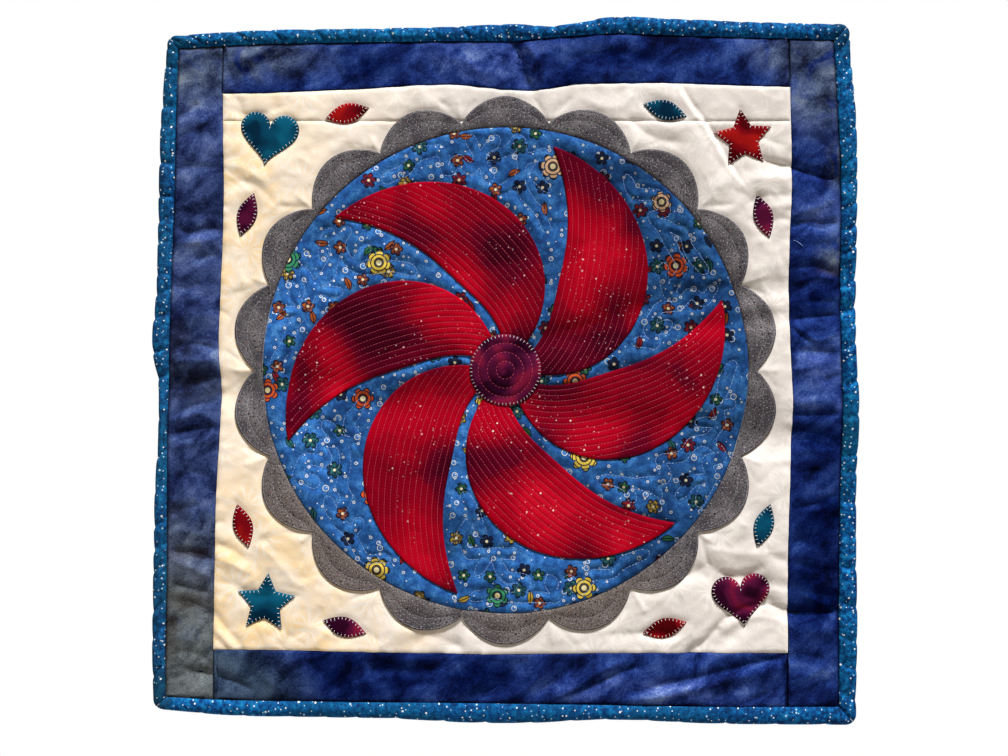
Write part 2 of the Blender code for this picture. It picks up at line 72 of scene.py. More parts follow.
SIDES = {
    "top": stops(
        (-245, -11.0, -21.0, -55.5),
        (-190, -7.5, -18.0, -55.0),
        (-112, -6.0, -16.5, -52.0),
        (-40, -4.5, -15.5, -48.5),
        (8, -2.5, -15.0, -52.5),
        (32, -4.0, -13.0, -52.0),
        (52, -2.0, -11.5, -48.5),
        (74, 2.3, -10.0, -48.0),
        (122, 1.5, -11.0, -47.5),
        (185, -1.0, -13.0, -49.5),
        (245, -2.5, -14.5, -51.0),
    ),
    "right": stops(
        (-20, 258.5, 246.5, 212.5),
        (-75, 263.0, 249.5, 213.5),
        (-112, 264.0, 251.5, 214.5),
        (-187, 263.3, 251.3, 212.5),
        (-250, 263.3, 252.0, 213.5),
        (-288, 265.5, 253.0, 215.3),
        (-345, 263.3, 251.0, 213.0),
        (-395, 263.0, 250.1, 211.5),
        (-450, 264.0, 250.1, 211.5),
        (-510, 263.0, 250.1, 211.5),
    ),
    "bottom": stops(
        (-255, -517.5, -507.8, -472.0),
        (-213, -521.3, -510.0, -472.0),
        (-140, -522.8, -511.0, -473.0),
        (-94, -523.5, -511.5, -474.0),
        (-20, -527.3, -512.5, -475.5),
        (17, -527.3, -513.0, -475.3),
        (70, -525.0, -513.8, -474.8),
        (160, -528.0, -515.3, -474.8),
        (249, -528.8, -515.3, -474.8),
    ),
    "left": stops(
        (-25, -255.0, -246.0, -212.3),
        (-68, -258.8, -247.5, -212.3),
        (-135, -261.0, -249.0, -211.5),
        (-200, -262.5, -251.5, -213.8),
        (-248, -265.5, -253.0, -215.5),
        (-272, -261.8, -253.5, -213.8),
        (-309, -261.0, -254.2, -214.5),
        (-347, -263.3, -254.3, -216.8),
        (-410, -264.8, -254.5, -218.3),
        (-487, -265.5, -255.8, -219.8),
        (-510, -264.8, -255.5, -219.8),
    ),
}
OUTWARD = {"top": 1, "right": 1, "bottom": -1, "left": -1}
LEVEL_SIDES = ("top", "bottom")  # these run along X, the others along Z
AXIS = {side: 0 if side in LEVEL_SIDES else 1 for side in SIDES}  # 0 is x and 1 is z

Fold = namedtuple("Fold", "height reach route")


def folds(*rows):
    """Soft ridges and hollows, each with its height, its reach to either side and its route."""
    return [Fold(height, reach, route) for height, reach, *route in rows]


HUNG_FOLDS = folds(
    (1.5, 13, (116, -52), (139, -86), (162, -121)),
    (-1.3, 9, (131, -50), (155, -83), (178, -119)),
    (-2.2, 7, (198, -111), (225, -116), (256, -120)),
    (-3.6, 10, (14, -246), (70, -229), (115, -210), (213, -199), (258, -190)),
    (-2.4, 8, (54, -241), (98, -234), (145, -229), (258, -217)),
    (-3.8, 16, (-92, -290), (-27, -285), (40, -292), (100, -304), (216, -316)),
    (-3.0, 12, (-258, -274), (-213, -281), (-130, -273)),
    (-2.6, 9, (-48, -478), (-30, -456), (-12, -432)),
    (-2.4, 8, (140, -478), (187, -447), (254, -444)),
    (-2.0, 8, (136, -413), (215, -428)),
    (-2.6, 9, (2, -12), (8, -34), (16, -58)),
    (-1.8, 7, (-240, -489), (-206, -498)),
)
Swell = namedtuple("Swell", "x z height reach")
SWELLS = (
    Swell(-160, -120, 2.6, 75),
    Swell(70, -110, 3.4, 80),
    Swell(215, -60, 1.6, 45),
    Swell(-60, -220, 2.2, 60),
    Swell(170, -262, 2.4, 45),
    Swell(-185, -375, 2.8, 75),
    Swell(15, -385, 3.6, 85),
    Swell(190, -372, 2.4, 55),
    Swell(-110, -500, 1.8, 50),
)
REST_LIFT = 3.4
BACK_CLEARANCE = 1.3

CENTRE = np.array((-0.5, -262.5))
DISC_RADIUS = 182.0
SCALLOPS = 18
SCALLOP_VALLEY = 187.5
SCALLOP_DEPTH = 18.0
HUB_RADIUS = 27.0
BLADES = 6
BLADE_ROOT = 17.0
BLADE_TIP = 171.0
BLADE_SWEEP = math.radians(66)
BLADE_BEND = 1.25
BLADE_START = math.radians(12)
BLADE_ROOT_HALF = 6.0
BLADE_BULGE = 30.0
GROUND_SEAM = -75.8

Motif = namedtuple("Motif", "name shape x z size turn colour")
MOTIFS = (
    Motif("heart_top_left", "heart", -178, -90, 44, -8, "teal"),
    Motif("star_top_right", "star", 178, -89, 46, 6, "red"),
    Motif("star_bottom_left", "star", -180, -437, 46, -5, "teal"),
    Motif("heart_bottom_right", "heart", 177, -436, 44, 7, "plum"),
    Motif("leaf_1", "leaf", -194, -146, 34, 72, "plum"),
    Motif("leaf_2", "leaf", -119, -70, 34, 14, "red"),
    Motif("leaf_3", "leaf", 119, -68, 34, -16, "teal"),
    Motif("leaf_4", "leaf", 193, -147, 34, -74, "plum"),
    Motif("leaf_5", "leaf", 193, -379, 34, 73, "teal"),
    Motif("leaf_6", "leaf", 119, -456, 34, 15, "red"),
    Motif("leaf_7", "leaf", -121, -455, 34, -17, "plum"),
    Motif("leaf_8", "leaf", -197, -379, 34, -75, "red"),
)

# ---------------------------------------------------------------- finer relief of the cloth

HALF_QUILT = 1.5  # from the middle of the quilt to its front
PINCHED = 0.45  # share of the quilt's thickness that is left under the binding
PINCH_REACH = 3.0  # how far from the binding the quilt is thinned
GAP = 0.16
CORE_INSET = 3.0  # the quilt's raw edge, inside the binding's fold
CALM_PLACE, CALM_REACH, CALM_SHARE = (150, -78), 64.0, 0.5  # where the cloth lies smoother
BORDER_FOLDS = 1.4  # how much deeper the small folds are in the borders than in the panel
GROOVE = 0.75  # extra depth of the ditch beside the binding
DIP = 0.6  # how far a stitched line lies below the cloth around it

# Small folds of the cream panel and the borders.
FINE_FOLDS = folds(
    # the panel's upper right part
    (1.0, 2.4, (126, -48), (139, -68), (146, -77), (158, -96), (168, -113), (174, -122)),
    (-1.3, 1.8, (130, -48), (143, -67), (150, -76), (162, -96), (172, -113), (179, -124)),
    (-1.0, 3.5, (88, -70), (110, -88), (136, -93)),
    (0.9, 5.0, (96, -60), (112, -76), (128, -84)),
    (-2.0, 3.0, (190, -103), (202, -107), (216, -110), (231, -115), (241, -118), (252, -121)),
    (1.6, 6.0, (172, -128), (184, -121), (200, -118), (218, -117)),
    (-1.2, 3.5, (178, -139), (192, -133), (214, -131)),
    (0.9, 4.0, (180, -148), (196, -141), (213, -139)),
    (-0.9, 3.0, (196, -152), (206, -149), (213, -150)),
    (-0.8, 3.0, (184, -84), (196, -90), (212, -96)),
    (0.7, 4.0, (60, -60), (74, -66), (92, -64)),
    # the panel's lower right part
    (-1.3, 4.0, (70, -462), (96, -460), (131, -462)),
    (-1.6, 4.0, (156, -412), (170, -417), (184, -414), (196, -408)),
    (1.5, 5.0, (158, -420), (180, -425), (196, -427), (212, -430)),
    (-1.4, 3.5, (176, -432), (190, -434), (204, -435)),
    (-2.3, 3.5, (150, -466), (161, -452), (179, -441), (194, -438), (206, -441), (218, -445)),
    (1.5, 4.5, (158, -462), (172, -452), (188, -448), (204, -450), (214, -453)),
    (-1.5, 3.0, (134, -475), (144, -470), (154, -462), (161, -455)),
    (0.9, 3.5, (120, -470), (134, -463), (142, -456)),
    (-1.1, 4.0, (196, -398), (204, -404), (213, -406)),
    (-1.2, 4.5, (132, -420), (146, -412), (158, -404)),
    (0.8, 4.0, (150, -396), (180, -400), (212, -398)),
    # the panel's lower left part
    (-1.1, 3.0, (-219, -447), (-208, -458), (-196, -473)),
    (0.9, 3.0, (-219, -456), (-210, -465), (-203, -473)),
    (-0.9, 2.5, (-219, -463), (-212, -469), (-206, -474)),
    (-1.2, 4.0, (-218, -392), (-206, -397), (-192, -406)),
    (0.9, 4.0, (-218, -402), (-204, -408), (-190, -415)),
    (-1.2, 4.5, (-218, -421), (-204, -423), (-188, -432), (-172, -430)),
    (-0.9, 4.0, (-170, -474), (-160, -462), (-146, -458)),
    (0.8, 4.0, (-150, -474), (-138, -462), (-124, -456)),
    (-1.2, 4.5, (-72, -474), (-60, -462), (-44, -466), (-30, -474)),
    (0.9, 5.0, (-96, -470), (-80, -460), (-60, -455)),
    # the panel's upper left part
    (-0.9, 4.0, (-212, -66), (-192, -72), (-160, -62)),
    (-0.9, 4.0, (-208, -120), (-188, -124), (-172, -138)),
    (0.8, 4.0, (-211, -108), (-196, -112), (-180, -122)),
    (-0.9, 3.5, (-210, -52), (-200, -62), (-196, -76)),
    # the right border
    (1.3, 5.0, (214, -146), (231, -141), (250, -133)),
    (-2.2, 4.0, (213, -157), (222, -151), (237, -154), (252, -150)),
    (-1.2, 5.0, (226, -170), (238, -168), (252, -166)),
    (-1.8, 4.0, (213, -187), (231, -184), (251, -191)),
    (1.2, 2.6, (218, -197), (231, -192), (251, -195)),
    (-1.2, 3.0, (224, -211), (250, -211)),
    (-1.5, 2.2, (212, -225), (230, -223), (252, -221)),
    (1.0, 2.5, (213, -227), (222, -233), (233, -240), (252, -232)),
    (-1.0, 2.0, (214, -230), (221, -236), (228, -241)),
    (-1.5, 4.0, (214, -248), (250, -250)),
    (-1.3, 3.0, (238, -272), (252, -265)),
    (1.2, 6.0, (215, -262), (240, -258)),
    (1.0, 5.0, (214, -286), (252, -285)),
    (-1.5, 3.5, (214, -295), (252, -296)),
    (-2.2, 8.0, (213, -312), (232, -314), (252, -322)),
    (1.6, 4.0, (214, -326), (229, -322), (241, -325), (252, -332)),
    (-1.4, 4.0, (215, -339), (238, -338)),
    (-1.4, 3.0, (218, -366), (234, -363), (250, -356)),
    (1.0, 3.0, (230, -369), (248, -360)),
    (-1.2, 5.0, (213, -392), (234, -388), (250, -378)),
    (-1.3, 4.0, (216, -408), (232, -412), (250, -414)),
    (-1.4, 5.0, (226, -428), (240, -432), (251, -430)),
    (1.0, 2.2, (225, -431), (238, -438), (251, -440)),
    (-2.0, 3.5, (211, -445), (231, -445), (251, -443)),
    (1.2, 6.0, (212, -455), (233, -458), (251, -456)),
    (-1.1, 4.0, (214, -474), (232, -478), (250, -486)),
    (1.2, 4.0, (214, -496), (230, -490), (246, -478)),
    (-1.0, 4.0, (222, -506), (236, -500), (250, -492)),
    # the bottom border
    (-2.4, 4.0, (96, -506), (116, -500), (148, -493), (184, -484), (214, -477)),
    (2.0, 5.0, (84, -512), (110, -508), (140, -501), (180, -491), (214, -483)),
    (-1.3, 2.6, (180, -514), (188, -509), (198, -504)),
    (-1.1, 2.6, (152, -514), (160, -508), (168, -501)),
    (-1.5, 3.5, (54, -506), (68, -497), (85, -490), (104, -484)),
    (1.9, 4.0, (24, -513), (46, -503), (73, -487), (90, -480)),
    (-1.9, 4.5, (24, -506), (40, -494), (54, -482)),
    (1.1, 3.5, (-4, -512), (9, -505), (24, -492), (38, -480)),
    (-2.2, 6.0, (-28, -510), (-8, -503), (6, -490), (16, -477)),
    (1.2, 3.5, (-44, -511), (-29, -502), (-14, -490)),
    (-1.4, 6.0, (-110, -486), (-80, -489), (-50, -487)),
    (1.0, 5.0, (-110, -478), (-80, -479), (-40, -479)),
    (1.0, 5.0, (-184, -490), (-172, -499), (-160, -509)),
    (-1.6, 3.0, (-240, -487), (-222, -491), (-205, -496), (-190, -503)),
    (-1.0, 5.0, (-150, -478), (-138, -490), (-126, -508)),
    # the left border
    (-1.4, 3.0, (-248, -75), (-238, -68), (-230, -62)),
    (-1.3, 3.5, (-250, -92), (-240, -86), (-228, -80)),
    (1.1, 5.0, (-236, -84), (-224, -76), (-214, -66)),
    (-1.1, 4.0, (-250, -112), (-236, -110), (-214, -112)),
    (-1.2, 5.0, (-244, -140), (-232, -146), (-222, -138)),
    (-1.9, 3.5, (-249, -154), (-238, -160), (-226, -157), (-213, -157)),
    (1.2, 4.0, (-248, -166), (-232, -166), (-214, -163)),
    (-1.6, 4.5, (-236, -180), (-226, -178), (-213, -176)),
    (-1.2, 4.0, (-252, -199), (-240, -202), (-228, -196)),
    (1.0, 8.0, (-250, -222), (-234, -220), (-216, -224)),
    (-1.1, 2.5, (-252, -246), (-234, -243), (-216, -247)),
    (1.4, 4.0, (-253, -256), (-236, -255), (-216, -256)),
    (-2.4, 6.0, (-254, -268), (-234, -270), (-214, -266)),
    (1.1, 2.4, (-254, -301), (-240, -297), (-228, -294)),
    (-1.7, 3.0, (-254, -311), (-236, -308), (-216, -305)),
    (-1.4, 3.0, (-253, -300), (-236, -290), (-216, -286)),
    (1.0, 4.0, (-253, -320), (-234, -317), (-217, -314)),
    (-1.3, 6.0, (-252, -346), (-238, -340), (-222, -344)),
    (-1.3, 4.0, (-253, -368), (-242, -367), (-230, -363)),
    (1.3, 5.0, (-253, -386), (-236, -384), (-219, -388)),
    (-2.0, 4.0, (-254, -398), (-238, -400), (-220, -404)),
    (1.4, 5.0, (-252, -404), (-236, -410), (-220, -418)),
    (-1.3, 3.0, (-253, -422), (-238, -426), (-220, -430)),
    (-1.7, 5.0, (-254, -436), (-238, -438), (-220, -446)),
    (1.2, 7.0, (-250, -460), (-236, -464), (-222, -462)),
    (-1.0, 4.0, (-252, -476), (-238, -474), (-222, -480)),
    # the top border
    (-1.4, 4.0, (-222, -22), (-210, -36), (-200, -52)),
    (1.0, 5.0, (-200, -24), (-188, -36), (-182, -50)),
    (-1.2, 5.0, (-120, -20), (-128, -34), (-118, -50)),
    (1.1, 7.0, (-60, -22), (-30, -32), (-8, -44)),
    (-1.6, 3.0, (4, -14), (10, -26), (12, -38), (20, -54)),
    (1.0, 3.0, (12, -14), (20, -24), (26, -36), (30, -52)),
    (-1.4, 5.0, (36, -40), (52, -30), (74, -24), (100, -26)),
    (1.2, 5.0, (40, -48), (70, -40), (110, -38)),
    (-1.0, 4.0, (150, -14), (158, -30), (154, -48)),
)


def smooth_values(keys, values, at):
    """A cubic curve through the keys, held level past its ends."""
    keys, values = np.asarray(keys, float), np.asarray(values, float)
    slopes = np.gradient(values, keys)
    at = np.clip(np.asarray(at, float), keys[0], keys[-1])
    i = np.clip(np.searchsorted(keys, at) - 1, 0, len(keys) - 2)
    span = keys[i + 1] - keys[i]
    t = (at - keys[i]) / span
    rise = (3 - 2 * t) * t * t
    start = values[i] * (1 - rise) + values[i + 1] * rise
    return start + span * t * (1 - t) * ((1 - t) * slopes[i] - t * slopes[i + 1])


def side_values(side, column, along):
    """How far up or across a side's line of this column runs, at places along the side."""
    rows = SIDES[side]
    return smooth_values([row.along for row in rows], [getattr(row, column) for row in rows], along)


TOP_MIDDLE = float(side_values("top", "edge", 0.0))


def world(points, heights):
    """Frame coordinates in metres of (x, z) points at these heights."""
    points = np.asarray(points, float)
    return np.stack((points[:, 0], -np.asarray(heights, float), points[:, 1] - TOP_MIDDLE), 1) * MM


def side_points(side, column, along, inset=0.0):
    """Points (x, z) of a side's line, moved inward by inset."""
    along = np.atleast_1d(np.asarray(along, float))
    across = side_values(side, column, along) - OUTWARD[side] * inset
    return np.stack((along, across) if side in LEVEL_SIDES else (across, along), 1)


def corner(level, upright, column, inset=0.0):
    """Where the lines of two sides meet."""
    x, z = side_points(upright, column, SIDES[level][0].edge, inset)[0]
    for _ in range(4):
        z = side_points(level, column, x, inset)[0, 1]
        x = side_points(upright, column, z, inset)[0, 0]
    return np.array((x, z))


def corner_arc(level, upright, inset, steps=12):
    """The rounded outer corner, from its level side to its upright side."""
    outward = np.array((OUTWARD[upright], OUTWARD[level]))
    middle = corner(level, upright, "edge") - CORNER_RADIUS * outward
    turns = np.linspace(0, math.pi / 2, steps + 1)
    return middle + (CORNER_RADIUS - inset) * outward * np.stack((np.sin(turns), np.cos(turns)), 1)


def side_ends(side):
    """The corners at a side's two ends, each as (level side, upright side)."""
    if side in LEVEL_SIDES:
        return (side, "left"), (side, "right")
    return ("top", side), ("bottom", side)


def edge_line(side, inset, step=1.0):
    """The outer edge of one side from mitre to mitre, left to right or top to bottom."""
    arcs = []
    for ends in side_ends(side):
        arc = corner_arc(*ends, inset)
        middle = len(arc) // 2
        arcs.append(arc[: middle + 1] if side in LEVEL_SIDES else arc[middle:][::-1])
    first, last = arcs[0][0][AXIS[side]], arcs[1][0][AXIS[side]]
    count = max(2, round(abs(last - first) / step))
    run = side_points(side, "edge", np.linspace(first, last, count + 1)[1:-1], inset)
    return np.concatenate((arcs[0][::-1], run, arcs[1]))


def column_line(side, column, inset=0.0, step=1.0):
    """A side's line of this column from corner to corner."""
    first, last = (corner(*ends, column, inset) for ends in side_ends(side))
    axis = AXIS[side]
    count = max(2, round(abs(last[axis] - first[axis]) / step))
    inner = np.linspace(first[axis], last[axis], count + 1)[1:-1]
    return np.concatenate(([first], side_points(side, column, inner, inset), [last]))


def around(lines):
    """One closed loop, counter-clockwise from the top left corner, of the four sides' lines."""
    loop = [lines["left"], lines["bottom"], lines["right"][::-1], lines["top"][::-1]]
    return np.concatenate([line[:-1] for line in loop])


def run_along(line):
    """How long a line is up to each of its points."""
    return np.concatenate(([0], np.cumsum(np.linalg.norm(np.diff(line, axis=0), axis=1))))


def closed_up(line):
    return np.concatenate((line, line[:1]))


def resampled(line, step, closed=False):
    """The line with evenly spaced points."""
    line = np.asarray(line, float)
    if closed:
        line = closed_up(line)
    run = run_along(line)
    count = max(3 if closed else 1, round(run[-1] / step))
    at = np.linspace(0, run[-1], count + 1)
    found = np.stack((np.interp(at, run, line[:, 0]), np.interp(at, run, line[:, 1])), 1)
    return found[:-1] if closed else found


class Lines:
    """Closed and open lines that distances are measured to."""

    def __init__(self, loops, routes=(), step=0.8):
        places, before, after, start = [], [], [], 0
        for line, closed in [(loop, True) for loop in loops] + [(route, False) for route in routes]:
            line = resampled(line, step, closed)
            order = np.arange(len(line))
            back, ahead = order - 1, order + 1
            if closed:
                back, ahead = back % len(line), ahead % len(line)
            else:
                back[0], ahead[-1] = 0, len(line) - 1
            places.append(line)
            before.append(back + start)
            after.append(ahead + start)
            start += len(line)
        self.places = np.concatenate(places)
        self.before, self.after = np.concatenate(before), np.concatenate(after)
        self.tree = KDTree(len(self.places))
        for i, (x, z) in enumerate(self.places):
            self.tree.insert((x, z, 0.0), i)
        self.tree.balance()

    def distance(self, points):
        """How far each point is from the nearest line."""
        find = self.tree.find
        near = np.array([find((x, z, 0.0))[1] for x, z in points], int)
        start = self.places[near]
        best = np.linalg.norm(points - start, axis=1)
        for other in (self.before, self.after):
            run = self.places[other[near]] - start
            long = np.maximum((run * run).sum(1), 1e-12)
            share = np.clip(((points - start) * run).sum(1) / long, 0, 1)
            best = np.minimum(best, np.linalg.norm(points - start - share[:, None] * run, axis=1))
        return best


def turned_left(ways):
    return np.stack((-ways[:, 1], ways[:, 0]), 1)


def units(ways):
    return ways / np.linalg.norm(ways, axis=1, keepdims=True)


def ways_round(loop):
    """The unit vectors along a closed line at its points."""
    return units(np.roll(loop, -1, axis=0) - np.roll(loop, 1, axis=0))


def area_of(outline):
    ahead = np.roll(outline, -1, axis=0)
    return 0.5 * np.sum(outline[:, 0] * ahead[:, 1] - outline[:, 1] * ahead[:, 0])


def counter_clockwise(outline):
    return outline if area_of(outline) > 0 else outline[::-1]


def inside(points, outline, share=4000):
    """Which points lie in a closed outline, worked out for this many points at a time."""
    found = np.zeros(len(points), bool)
    ahead = np.roll(outline, -1, axis=0)
    for first in range(0, len(points), share):
        x, z = points[first : first + share, :1], points[first : first + share, 1:]
        crosses = (outline[:, 1] > z) != (ahead[:, 1] > z)
        rise = np.where(ahead[:, 1] == outline[:, 1], 1e-9, ahead[:, 1] - outline[:, 1])
        at = outline[:, 0] + (z - outline[:, 1]) / rise * (ahead[:, 0] - outline[:, 0])
        found[first : first + share] = (crosses & (x < at)).sum(1) % 2 == 1
    return found


def inside_any(points, outlines):
    """Which points lie in one of the closed outlines."""
    found = np.zeros(len(points), bool)
    for outline in outlines:
        near = ((points >= outline.min(0)) & (points <= outline.max(0))).all(1)
        if near.any():
            found[near] |= inside(points[near], outline)
    return found


def from_centre(points):
    """How far points lie from the medallion's middle."""
    return np.linalg.norm(points - CENTRE, axis=1)


def puffed(away, reach, sharpness=1.2):
    """How far padded cloth has risen at this distance from a line of stitches, from 0 to 1."""
    return 1 - np.exp(-((away / reach) ** sharpness))


def bell(away, sharpness=2):
    """1 in the middle, dying away by a distance of about 2."""
    return np.exp(-(away**sharpness))


def rounding(depth):
    """How far a rounded edge falls back, from 1 at its rim to 0 at a depth of 1."""
    return 1 - np.sqrt(np.maximum(0, 1 - (1 - depth) ** 2))


def curved(route, step=1.5):
    """A smooth line through a route's points, as closely spaced points."""
    route = np.asarray(route, float)
    run = run_along(route)
    at = np.linspace(0, run[-1], max(6, round(run[-1] / step)))
    return np.stack([smooth_values(run, route[:, k], at) for k in (0, 1)], 1)


def route_distance(points, route):
    """How far points lie from a route of straight stretches."""
    best = np.full(len(points), np.inf)
    for start, end in zip(route, route[1:]):
        start = np.asarray(start, float)
        run = np.asarray(end, float) - start
        share = np.clip((points - start) @ run / (run @ run), 0, 1)
        best = np.minimum(best, np.linalg.norm(points - start - share[:, None] * run, axis=1))
    return best


class Noise:
    """A smooth random height from -1 to 1 over the plane."""

    SIZE = 61
    FAR = 1000.0  # added to the places, in cells, so that they stay positive

    def __init__(self, seed, cell, turn=0.0, stretch=1.0):
        self.table = np.random.default_rng(seed).uniform(-1, 1, (self.SIZE, self.SIZE))
        self.cell = np.array((cell * stretch, cell))
        turn = math.radians(turn)
        self.turn = np.array(((math.cos(turn), -math.sin(turn)), (math.sin(turn), math.cos(turn))))

    def __call__(self, points):
        place = (points @ self.turn) / self.cell + self.FAR
        whole = np.floor(place).astype(int)
        part = place - whole
        part = part * part * (3 - 2 * part)
        x0, z0 = whole[:, 0] % self.SIZE, whole[:, 1] % self.SIZE
        x1, z1 = (x0 + 1) % self.SIZE, (z0 + 1) % self.SIZE
        low = self.table[x0, z0] * (1 - part[:, 0]) + self.table[x1, z0] * part[:, 0]
        high = self.table[x0, z1] * (1 - part[:, 0]) + self.table[x1, z1] * part[:, 0]
        return low * (1 - part[:, 1]) + high * part[:, 1]


def lift(points):
    """How far the quilt's back hangs in front of the wall plane."""
    found = np.full(len(points), REST_LIFT)
    for swell in SWELLS:
        away = np.linalg.norm(points - (swell.x, swell.z), axis=1) / swell.reach
        found += swell.height * bell(away)
    for fold in HUNG_FOLDS:
        found += fold.height * bell(route_distance(points, fold.route) / fold.reach)
    return (found + np.sqrt(found**2 + 1)) / 2 + BACK_CLEARANCE


DITCH = around({side: column_line(side, "ditch") for side in SIDES})
DITCH_LINES = Lines([DITCH])


def openness(points):
    """From 0 under the binding to 1 where the quilt has its full thickness."""
    away = np.where(inside(points, DITCH), DITCH_LINES.distance(points), 0.0)
    return puffed(away, PINCH_REACH, 1.3)


def pinched(opened):
    """The share of the quilt's thickness that is left."""
    return PINCHED + (1 - PINCHED) * opened


# ---------------------------------------------------------------- the design's outlines


def polar(radius, turn):
    """Points at these radii and angles round the medallion's middle."""
    radius, turn = np.broadcast_arrays(np.asarray(radius, float), np.asarray(turn, float))
    return CENTRE + np.stack((radius * np.cos(turn), radius * np.sin(turn)), -1)


def circle(radius, step=1.0):
    """A circle round the medallion's middle, with points this far apart."""
    count = round(FULL_TURN * radius / step)
    return polar(radius, FULL_TURN * np.arange(count) / count)


def scallop_outline(steps=56, shrink=0.0):
    """A ring of round lobes that meet in valleys."""
    order = np.arange(SCALLOPS * steps)
    lobe = math.pi * (order % steps) / steps
    reach = SCALLOP_VALLEY + SCALLOP_DEPTH * np.sin(lobe) ** 0.8 - shrink
    return polar(reach, FULL_TURN * order / len(order))


def blade_places(share, start):
    """The middle line of a blade, from its root at 0 to its tip at 1."""
    radius = BLADE_ROOT + (BLADE_TIP - BLADE_ROOT) * share
    return polar(radius, start + BLADE_SWEEP * share**BLADE_BEND)


def blade_frame(share, start):
    """Points of a blade's middle line, the unit vectors to its left there, and half its width."""
    share = np.asarray(share, float)
    places = blade_places(share, start)
    aside = turned_left(units(blade_places(share + 0.01, start) - places))
    wave = np.sin(math.pi * np.clip(share, 0, 1) ** 1.1)
    half = BLADE_ROOT_HALF * (1 - share) + BLADE_BULGE * np.clip(wave, 0, 1) ** 0.9
    return places, aside, half


def blade_outline(start, steps=160):
    places, aside, half = blade_frame(np.linspace(0, 1, steps + 1), start)
    left, right = places + aside * half[:, None], places - aside * half[:, None]
    return np.concatenate((right, left[-2::-1]))


def heart(steps=108):
    """The usual heart curve, one unit wide, as the motifs after it."""
    turn = FULL_TURN * (np.arange(steps) + 0.5) / steps
    height = 13 * np.cos(turn) - 5 * np.cos(2 * turn) - 2 * np.cos(3 * turn) - np.cos(4 * turn)
    return np.stack((np.sin(turn) ** 3 / 2, (height + 2.5) / 32), 1)[::-1]


def star(points=5):
    order = np.arange(2 * points)
    turn = math.pi / 2 + math.pi * order / points
    reach = np.where(order % 2 == 0, 0.5, 0.25)
    return np.stack((reach * np.cos(turn), reach * np.sin(turn)), 1)


def leaf(steps=24):
    share = np.arange(steps) / steps
    lower = np.stack((share - 0.5, -0.22 * np.sin(math.pi * share)), 1)
    return np.concatenate((lower, -lower))


SHAPES = {"heart": heart, "star": star, "leaf": leaf}


def motif_outline(motif):
    turn = math.radians(motif.turn)
    spin = np.array(((math.cos(turn), math.sin(turn)), (-math.sin(turn), math.cos(turn))))
    shape = resampled(SHAPES[motif.shape](), 0.8 / motif.size, closed=True)
    return (motif.x, motif.z) + motif.size * shape @ spin


BLADE_STARTS = [BLADE_START + FULL_TURN * i / BLADES for i in range(BLADES)]
BLADE_OUTLINES = [blade_outline(start) for start in BLADE_STARTS]
MOTIF_OUTLINES = {motif.name: motif_outline(motif) for motif in MOTIFS}
SCALLOP = scallop_outline()
BLADE_LINES = Lines(BLADE_OUTLINES)

# ---------------------------------------------------------------- the quilting lines


def hex_points(low, high, step):
    """Points in staggered rows between two corners."""
    rows = np.arange(low[1], high[1], step * math.sqrt(3) / 2)
    columns = np.arange(low[0], high[0], step)
    x, z = np.meshgrid(columns, rows)
    x[1::2] += step / 2
    return np.stack((x.ravel(), z.ravel()), 1)


TREE_STEP = 16.5  # between the nodes of the trees that the stippling wanders round
STIPPLE_AWAY = 4.1  # from a tree's branches to the line of stitches
ECHO_STEP = 4.6  # between the lines along a blade
ECHO_DEPTH = 0.7  # how far those lines sway
HUB_STEP = 6.75  # between the rings on the hub


def tree_nodes(rng):
    """Scattered places in the parts of the disc that show, clear of the blades."""
    grid = hex_points(CENTRE - DISC_RADIUS, CENTRE + DISC_RADIUS, TREE_STEP)
    grid += rng.uniform(-0.22, 0.22, grid.shape) * TREE_STEP
    reach = from_centre(grid)
    margin = STIPPLE_AWAY + 1.5
    clear = (reach < DISC_RADIUS - margin) & (reach > HUB_RADIUS + margin)
    clear &= ~inside_any(grid, BLADE_OUTLINES) & (BLADE_LINES.distance(grid) > margin)
    return grid[clear]


def random_trees(nodes, rng):
    """For each node, its neighbours in a random tree whose branches stay in sight."""
    pairs = []
    for i, place in enumerate(nodes):
        away = np.linalg.norm(nodes - place, axis=1)
        for j in np.flatnonzero(away < 1.45 * TREE_STEP):
            if i < j:
                along = place + (nodes[j] - place) * np.linspace(0, 1, 6)[:, None]
                if BLADE_LINES.distance(along).min() > STIPPLE_AWAY + 1.0:
                    pairs.append((away[j] * rng.uniform(0.5, 1.5), i, int(j)))
    group = list(range(len(nodes)))
    joined = {i: [] for i in group}
    for _, i, j in sorted(pairs):
        if group[i] != group[j]:
            group = [group[i] if g == group[j] else g for g in group]
            joined[i].append(j)
            joined[j].append(i)
    return joined


def round_the_tree(nodes, joined, first):
    """A closed line that keeps its distance from a tree's branches."""

    def angle(start, end):
        return math.atan2(*(nodes[end] - nodes[start])[::-1])

    def way(start, end):
        ahead = nodes[end] - nodes[start]
        return ahead / np.linalg.norm(ahead)

    turn = {i: sorted(near, key=lambda j, i=i: angle(i, j)) for i, near in joined.items()}
    path, at, to = [], first, turn[first][0]
    start = (at, to)
    while True:
        order = turn[to]
        after = order[(order.index(at) + 1) % len(order)]
        ahead, leaving = way(at, to), way(to, after)
        aside = np.array((ahead[1], -ahead[0]))
        other = np.array((leaving[1], -leaving[0]))
        path.append((nodes[at] + nodes[to]) / 2 + aside * STIPPLE_AWAY)
        bend = ahead[0] * leaving[1] - ahead[1] * leaving[0]
        if after == at:
            steps = [aside + 0.2 * ahead, 1.15 * ahead, 0.2 * ahead - aside]
        elif bend > 0:
            steps = [aside, other]
        else:
            both = aside + other
            steps = [1.1 * both / np.linalg.norm(both)]
        path += [nodes[to] + step * STIPPLE_AWAY for step in steps]
        at, to = to, after
        if (at, to) == start:
            return np.array(path)


